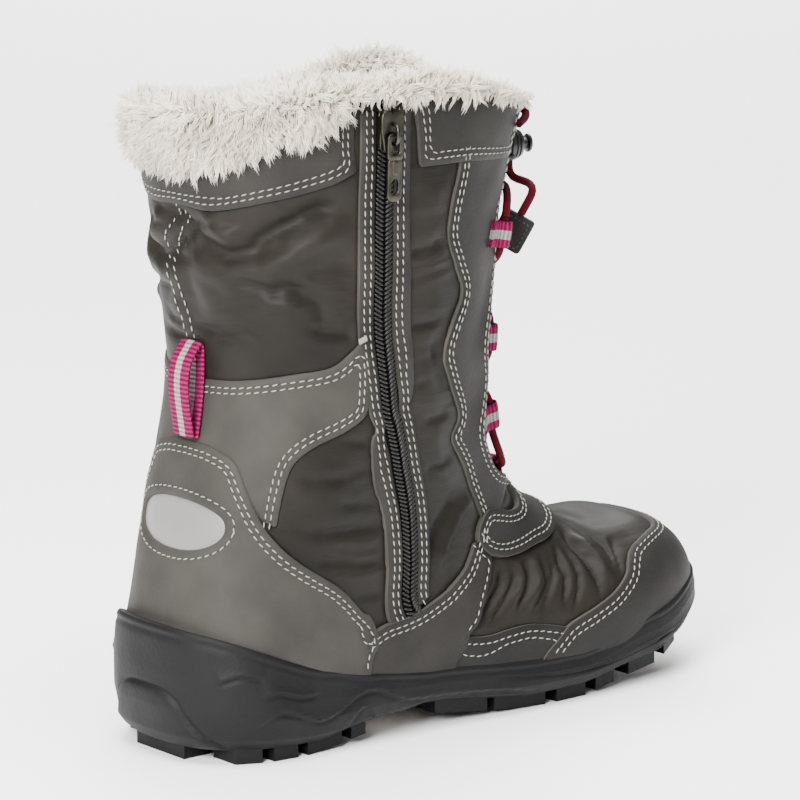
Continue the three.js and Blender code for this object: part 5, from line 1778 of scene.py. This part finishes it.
def cuff_skin(first, last, count):
    """A sector of the skin from its outer lower edge over the top to its inner edge."""
    around = np.linspace(first, last, count)
    from_front = np.abs(np.degrees(np.arctan2(np.sin(around), np.cos(around))))
    front = np.exp(-((np.minimum(from_front, 180) / 62) ** 4))
    degrees = np.degrees((around + np.pi) % (2 * np.pi) - np.pi)
    drop = np.interp(degrees, CUFF_DEGREES, CUFF_DROPS)
    pile_ = 1 - 0.5 * np.exp(-((degrees + 24) / 50) ** 4)
    rise = np.interp(degrees, TIP_DEGREES, TIP_HEIGHTS) - on_last(rim_row(around), around)[:, 2] - 7.6 * pile_
    rise = np.maximum(rise, 0.5) / 4.2
    behind = 1 - 0.5 * np.exp(-((np.abs(degrees) - 180) / 50) ** 4)
    profile = [(1.2, -0.95), (2.8, -0.9), (3.4, -0.6), (3.6, -0.3), (3.6, 0.0), (2.8, 2.4), (0.6, 4.0),
               (-2.6, 4.2), (-6.0, 3.2), (-8.4, 0.4), (-9.2, -5), (-9.0, -13), (-8.0, -20), (-6.0, -24.5)]
    lanes = []
    for value in np.linspace(0, len(profile) - 1, 34):
        k = min(int(value), len(profile) - 2)
        t = value - k
        t = t * t * (3 - 2 * t) * 0.4 + t * 0.6
        (o0, h0), (o1, h1) = profile[k], profile[k + 1]
        first_h = h0 * drop if k <= 4 and h0 <= 0 else np.full(count, float(h0))
        second_h = h1 * drop if k + 1 <= 4 and h1 <= 0 else np.full(count, float(h1))
        tall = first_h + (second_h - first_h) * t
        tall = np.where(tall > 0, tall * rise, tall)
        away = np.full(count, o0 + (o1 - o0) * t)
        lanes.append(cuff_point(around, np.where(away > 0, away * (1 - 0.45 * front) * behind, away), tall))
    grid = np.array(lanes)
    flat = grid.reshape(-1, 3)
    wave = (0.9 * soft_noise(flat, 26, 21) + 0.6 * soft_noise(flat, 11, 22)).reshape(grid.shape[:2])
    down = unit(np.gradient(grid, axis=0))
    sideways = unit(np.gradient(grid, axis=1))
    normal = unit(np.cross(sideways, down))
    ease = np.minimum(1, np.arange(len(grid)) / 4)[:, None]
    grid = grid + normal * (wave * (ease * ease[::-1]))[..., None]
    comb = -down.copy()
    comb[14:] *= -1
    comb[10:18] *= 0.3
    comb[..., 2] -= 0.25
    return grid, normal, comb * (1 - 0.2 * front)[:, None], np.tile(pile_, (len(grid), 1))


FUR = fur_tree(one_lock())
SECTORS = 4
fur_faces = 0
for sector in range(SECTORS):
    low = -np.pi + sector * 2 * np.pi / SECTORS
    grid, normal, comb, pile_length = cuff_skin(low, low + 2 * np.pi / SECTORS, 40)
    faces = quads(*grid.shape[:2], flip=True)
    # the skin takes the darker backing: painted shade under the pile
    skin = make_mesh(f"cuff_skin_{sector + 1}", grid.reshape(-1, 3), faces, UNDERFUR_SHADED)
    face_normal = np.array(skin.data.polygons[len(faces) // 2].normal)
    if face_normal @ normal.reshape(-1, 3)[faces[len(faces) // 2][0]] < 0:
        skin.data.flip_normals()
    attribute = skin.data.attributes.new("comb", "FLOAT_VECTOR", "POINT")
    attribute.data.foreach_set("vector", comb.ravel())
    skin.data.attributes.new("pile", "FLOAT", "POINT").data.foreach_set("value", pile_length.ravel())
    copy = skin.copy()
    copy.data = skin.data.copy()
    bpy.context.scene.collection.objects.link(copy)
    fur = grown(f"cuff_pile_{sector + 1}", copy, FUR, {
        "Density": 6.9e5, "Length": 0.0066, "Clumping": 0.34, "Clump Size": 0.0045,
        "Comb": 0.75, "Seed": sector + 1, "Material": PILE})
    fur_faces += len(fur.data.polygons)
    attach(fur, BODY)
    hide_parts("fur_cuff")
    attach(skin, BODY)
    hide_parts("fur_cuff")
bpy.data.objects.remove(bpy.data.objects["fur_lock"])
print("fur", fur_faces, "faces")


# %% [markdown]
# ## The moulded sole
# The sole is one rubber moulding. Its tread blocks are the CAD's own. Its side wall carries
# relief: a rolled lip against the upper, a step round the heel, a low line of peaks along the
# waist and overlapping layers at the toe. The wall is a fine grid whose points are pushed out or
# in by those shapes, a fraction of a millimetre proud of the CAD's plain wall.

# %% Rubber
def rubber():
    # moulded rubber: matt, with spark-eroded grain 0.5 mm across and a trace of pale bloom
    material, tree, surface = new_material("moulded_rubber_sole", "0c0c0d", 0.6, specular_ior_level=0.18)
    place_ = object_place(tree)
    tint(tree, surface, noise(tree, place_, 12, 6), "050506", "0b0b0c")
    height = maths(tree, "ADD", noise(tree, place_, 0.45, 2), noise(tree, place_, 1.1, 2))
    bumped(tree, surface, height, 0.00016, 0.6)
    uneven_gloss(tree, surface, noise(tree, place_, 6, 4), 0.5, 0.72)
    return material


RUBBER = rubber()
for slot_ in bpy.data.objects["sole"].material_slots:
    slot_.material = RUBBER

# %% The side wall's own shape
SOLE = np.array([  # x, inner half, outer half, underside, top
    (-37, 38, 38, 0, 45), (8, 40.5, 41, 0, 29), (26, 40.8, 41.3, 3, 25), (52, 41, 42, 5, 21.5),
    (98, 43.5, 44, 0, 18), (118, 43.5, 43.5, 0, 18), (153, 41, 40.5, 5, 26), (190.5, 33, 32, 17, 36)])
HEEL_X, TOE_X = -37, 190.5


def eased(x, column):
    """The table's value, half straight and half smoothed between its rows, as the CAD has it."""
    i = np.clip(np.searchsorted(SOLE[:, 0], x, side="right") - 1, 0, len(SOLE) - 2)
    f = np.clip((x - SOLE[i, 0]) / (SOLE[i + 1, 0] - SOLE[i, 0]), 0, 1)
    f = 0.5 * f + 0.5 * f * f * (3 - 2 * f)
    return SOLE[i, column] + (SOLE[i + 1, column] - SOLE[i, column]) * f


def sole_plan(x, side):
    heel = np.clip((HEEL_X + 36 - x) / 36, 0, 1)
    toe = np.clip((x - TOE_X + 50) / 50, 0, 1)
    closing = (1 - heel**2.4) ** (1 / 2.4) * (1 - toe**3) ** (1 / 3)
    half_ = np.where(side < 0, eased(x, 1), eased(x, 2)) * closing
    centre = -6 * np.clip((x - 68) / 128, 0, 1) ** 1.5
    return centre + side * half_


def wall_point(share, side, height):
    inset_ = np.interp(height, [0, 0.12, 0.35, 0.62, 0.88, 1], [4.5, 1.5, 0, 0, 0.6, 1.6])
    x = HEEL_X + inset_ + (TOE_X - HEEL_X - 2 * inset_) * share
    y = sole_plan(HEEL_X + (TOE_X - HEEL_X) * share, side) * (1 - inset_ / 40)
    z = eased(x, 3) + 4.5 + (eased(x, 4) - eased(x, 3) - 4.5) * height
    return np.stack([x, y, z], -1)


# the run round the wall from the middle of the heel, so that relief keeps its size on the curves
PLAN_X = HEEL_X + (TOE_X - HEEL_X) * (1 - np.cos(np.linspace(0, np.pi, 600))) / 2
PLAN = np.stack([PLAN_X, sole_plan(PLAN_X, np.full(600, -1))], 1)
PLAN_RUN = run_along(PLAN)


def wall_run(x):
    return np.interp(x, PLAN_X, PLAN_RUN)


def relief_line(marks):
    """A line on the wall through places (x, z), as closely spaced (run, z)."""
    pts = np.array([(wall_run(x), z, 0.0) for x, z in marks])
    return even_points(centripetal(pts, 10), 90)[:, :2]


PEAKS = [((-23, 11), (-17.4, 14.8), (-10.4, 18.5), (-2.8, 16), (4.1, 13.2), (11.1, 14.7), (18.7, 18.6),
          (24, 20), (29.6, 19.1), (40.2, 14.5), (56.9, 12.5), (74.6, 11.2), (88, 9.5), (100, 7)),
         ((15.5, 9), (20, 14), (22.3, 15), (24.5, 13.5), (27.5, 8)),
         ((-16.2, 23.9), (-11.4, 25), (-4.3, 23), (3.3, 22.3)), ((-28.8, 28.8), (-22.7, 31.4), (-16.2, 30.2))]
HEEL_LINE = ((-37, 24.2), (-36.6, 23.6), (-35.6, 21), (-34.3, 15), (-31.8, 9), (-29, 6.5), (-26, 3))
TOE_LINES = [((74, 15.5), (106, 12.5), (130, 12.8), (151, 16.2), (170, 20), (184, 24), (190.4, 26)),
             ((104, 6.5), (122, 7.3), (138, 9.6), (153, 12.6), (168, 16.5), (182, 20.5), (190.4, 22)),
             ((128, 5), (146, 8.2), (160, 12), (176, 17), (190.4, 20))]


def relief(points, height):
    """Millimetres out from the plain wall, for points of the grid."""
    run = np.broadcast_to(wall_run(points[height.shape[0] // 2, :, 0]), height.shape).ravel()
    flat = np.stack([run, points[..., 2].ravel()], 1)
    out = np.full(len(flat), 0.35)

    def beside(line_):
        gap_ = np.linalg.norm(flat[:, None] - line_[None], axis=2)
        return gap_.min(1), gap_.argmin(1)

    for marks in PEAKS:
        line_ = relief_line(marks)
        near, at = beside(line_)
        f = at / (len(line_) - 1)
        fade = np.clip(np.minimum(f, 1 - f) / 0.1, 0, 1)
        lower = line_[at, 1] > flat[:, 1]
        out += 0.8 * fade * np.where(lower, np.exp(-((near / 0.75) ** 2)), np.exp(-near / 2.6))
        out -= 0.45 * fade * np.where(lower, np.exp(-(((near - 1.4) / 0.8) ** 2)), 0)
    line_ = relief_line(HEEL_LINE)
    near, at = beside(line_)
    way, off = np.gradient(line_, axis=0)[at], flat - line_[at]
    within = way[:, 0] * off[:, 1] < way[:, 1] * off[:, 0]
    behind = flat[:, 0] < line_[-1, 0] + 4
    out += behind * np.where(within, 1.2 - 0.9 * np.exp(-near / 0.9), 0.3 * np.exp(-near / 0.9))
    out -= behind * np.where(within, 0, 0.55 * np.exp(-((near - 0.6) / 0.7) ** 2))
    for marks in TOE_LINES:
        line_ = relief_line(marks)
        near, at = beside(line_)
        start = np.clip(at / (len(line_) - 1) / 0.3, 0, 1)
        lower = line_[at, 1] > flat[:, 1]
        out += start * np.where(lower, -0.95 * np.exp(-((near - 0.5) / 1.1) ** 2), 0.55 * np.exp(-near / 1.5))
    under_top = eased(points[..., 0].ravel(), 4) - flat[:, 1]
    out += 0.4 * np.exp(-(((under_top - 1.0) / 0.8) ** 2)) - 0.1 * np.exp(-(((under_top - 2.7) / 0.6) ** 2))
    out *= np.clip(height.ravel() / 0.06, 0, 1) ** 0.5
    return out.reshape(height.shape)


stations = (1 - np.cos(np.linspace(0, np.pi, 300))) / 2
shares = np.concatenate([stations, stations[-2:0:-1]])
sides = np.concatenate([np.full(len(stations), -1), np.full(len(stations) - 2, 1)])
heights_ = np.linspace(0, 1, 74)
grid = np.array([wall_point(shares, sides, np.full(len(shares), h)) for h in heights_])
along = unit(np.roll(grid, -1, axis=1) - np.roll(grid, 1, axis=1))
way_out = unit(np.cross(along, (0, 0, 1)))
push = relief(grid, np.repeat(heights_[:, None], len(shares), 1))
grid = grid + way_out * push[..., None]
top_in = grid[-1] - way_out[-1] * 2.2 + (0, 0, -0.3)
grid = np.concatenate([grid, [grid[-1] - way_out[-1] * 0.5 + (0, 0, 0.35)], [top_in]])
faces = quads(*grid.shape[:2], wrap_columns=1)
wall = make_mesh("sole_side_wall", grid.reshape(-1, 3), faces, RUBBER)
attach(wall, BODY)
print("sole wall", len(faces), "quads, stands out", push.min().round(2), "to", push.max().round(2), "mm")


# %% [markdown]
# ## Inside the boot
# Looking down into the shaft one sees warm fleece lining, and far down a felt footbed. The lining
# is the last drawn four millimetres smaller, facing inwards. Its pile is too fine for geometry,
# so curls about 2 mm across are bump and a little colour.

# %% Fleece lining and footbed
def curly(name, dark, light, size):
    material, tree, surface = new_material(name, light, 0.95, sheen_weight=0.5)
    place_ = object_place(tree)
    curl = add(tree, "ShaderNodeTexVoronoi", {"Vector": place_, "Scale": 1000 / size}, feature="SMOOTH_F1")
    tint(tree, surface, curl.outputs["Distance"], light, dark, 0.1, 0.7)
    both = maths(tree, "ADD", curl.outputs["Distance"], noise(tree, place_, 0.8, 3))
    bumped(tree, surface, both, 0.001, 0.8)
    return material


FLEECE = curly("knitted_fleece_lining", "a39b8f", "d6cfc3", 2.0)
FELT = curly("pressed_felt_footbed", "8d867b", "b5aea2", 0.9)
around = np.linspace(0, 2 * np.pi, 120, endpoint=False)
edge_row = rim_row(around)
grid = np.array([raised(edge_row + 0.15 + (15.5 - edge_row - 0.15) * f, around, np.full(len(around), -4.25))
                 for f in np.linspace(0, 1, 90)])
faces = quads(*grid.shape[:2], wrap_columns=1)
lining = make_mesh("fleece_lining", grid.reshape(-1, 3), faces, FLEECE)
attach(lining, BODY)
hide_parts("upper")
copy = add_object("felt_source", bpy.data.objects["insole"].data.copy())
bm = bmesh.new()
bm.from_mesh(copy.data)
bmesh.ops.remove_doubles(bm, verts=bm.verts, dist=1e-6)
long_edges = [e for e in bm.edges if e.calc_length() > 0.006]
bmesh.ops.subdivide_edges(bm, edges=long_edges, cuts=2, use_grid_fill=True)
bm.to_mesh(copy.data)
bm.free()
copy.data.materials.clear()
copy.data.materials.append(FELT)
felt = as_mesh(copy, "felt_footbed")
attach(felt, BODY)
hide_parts("insole")
print("lining", len(faces), "quads, footbed", len(felt.data.polygons), "faces")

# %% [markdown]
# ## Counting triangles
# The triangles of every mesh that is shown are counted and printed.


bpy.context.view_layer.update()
triangles = 0
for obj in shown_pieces():
    if obj.type == "MESH":
        obj.data.calc_loop_triangles()
        triangles += len(obj.data.loop_triangles)
print("triangles", triangles)
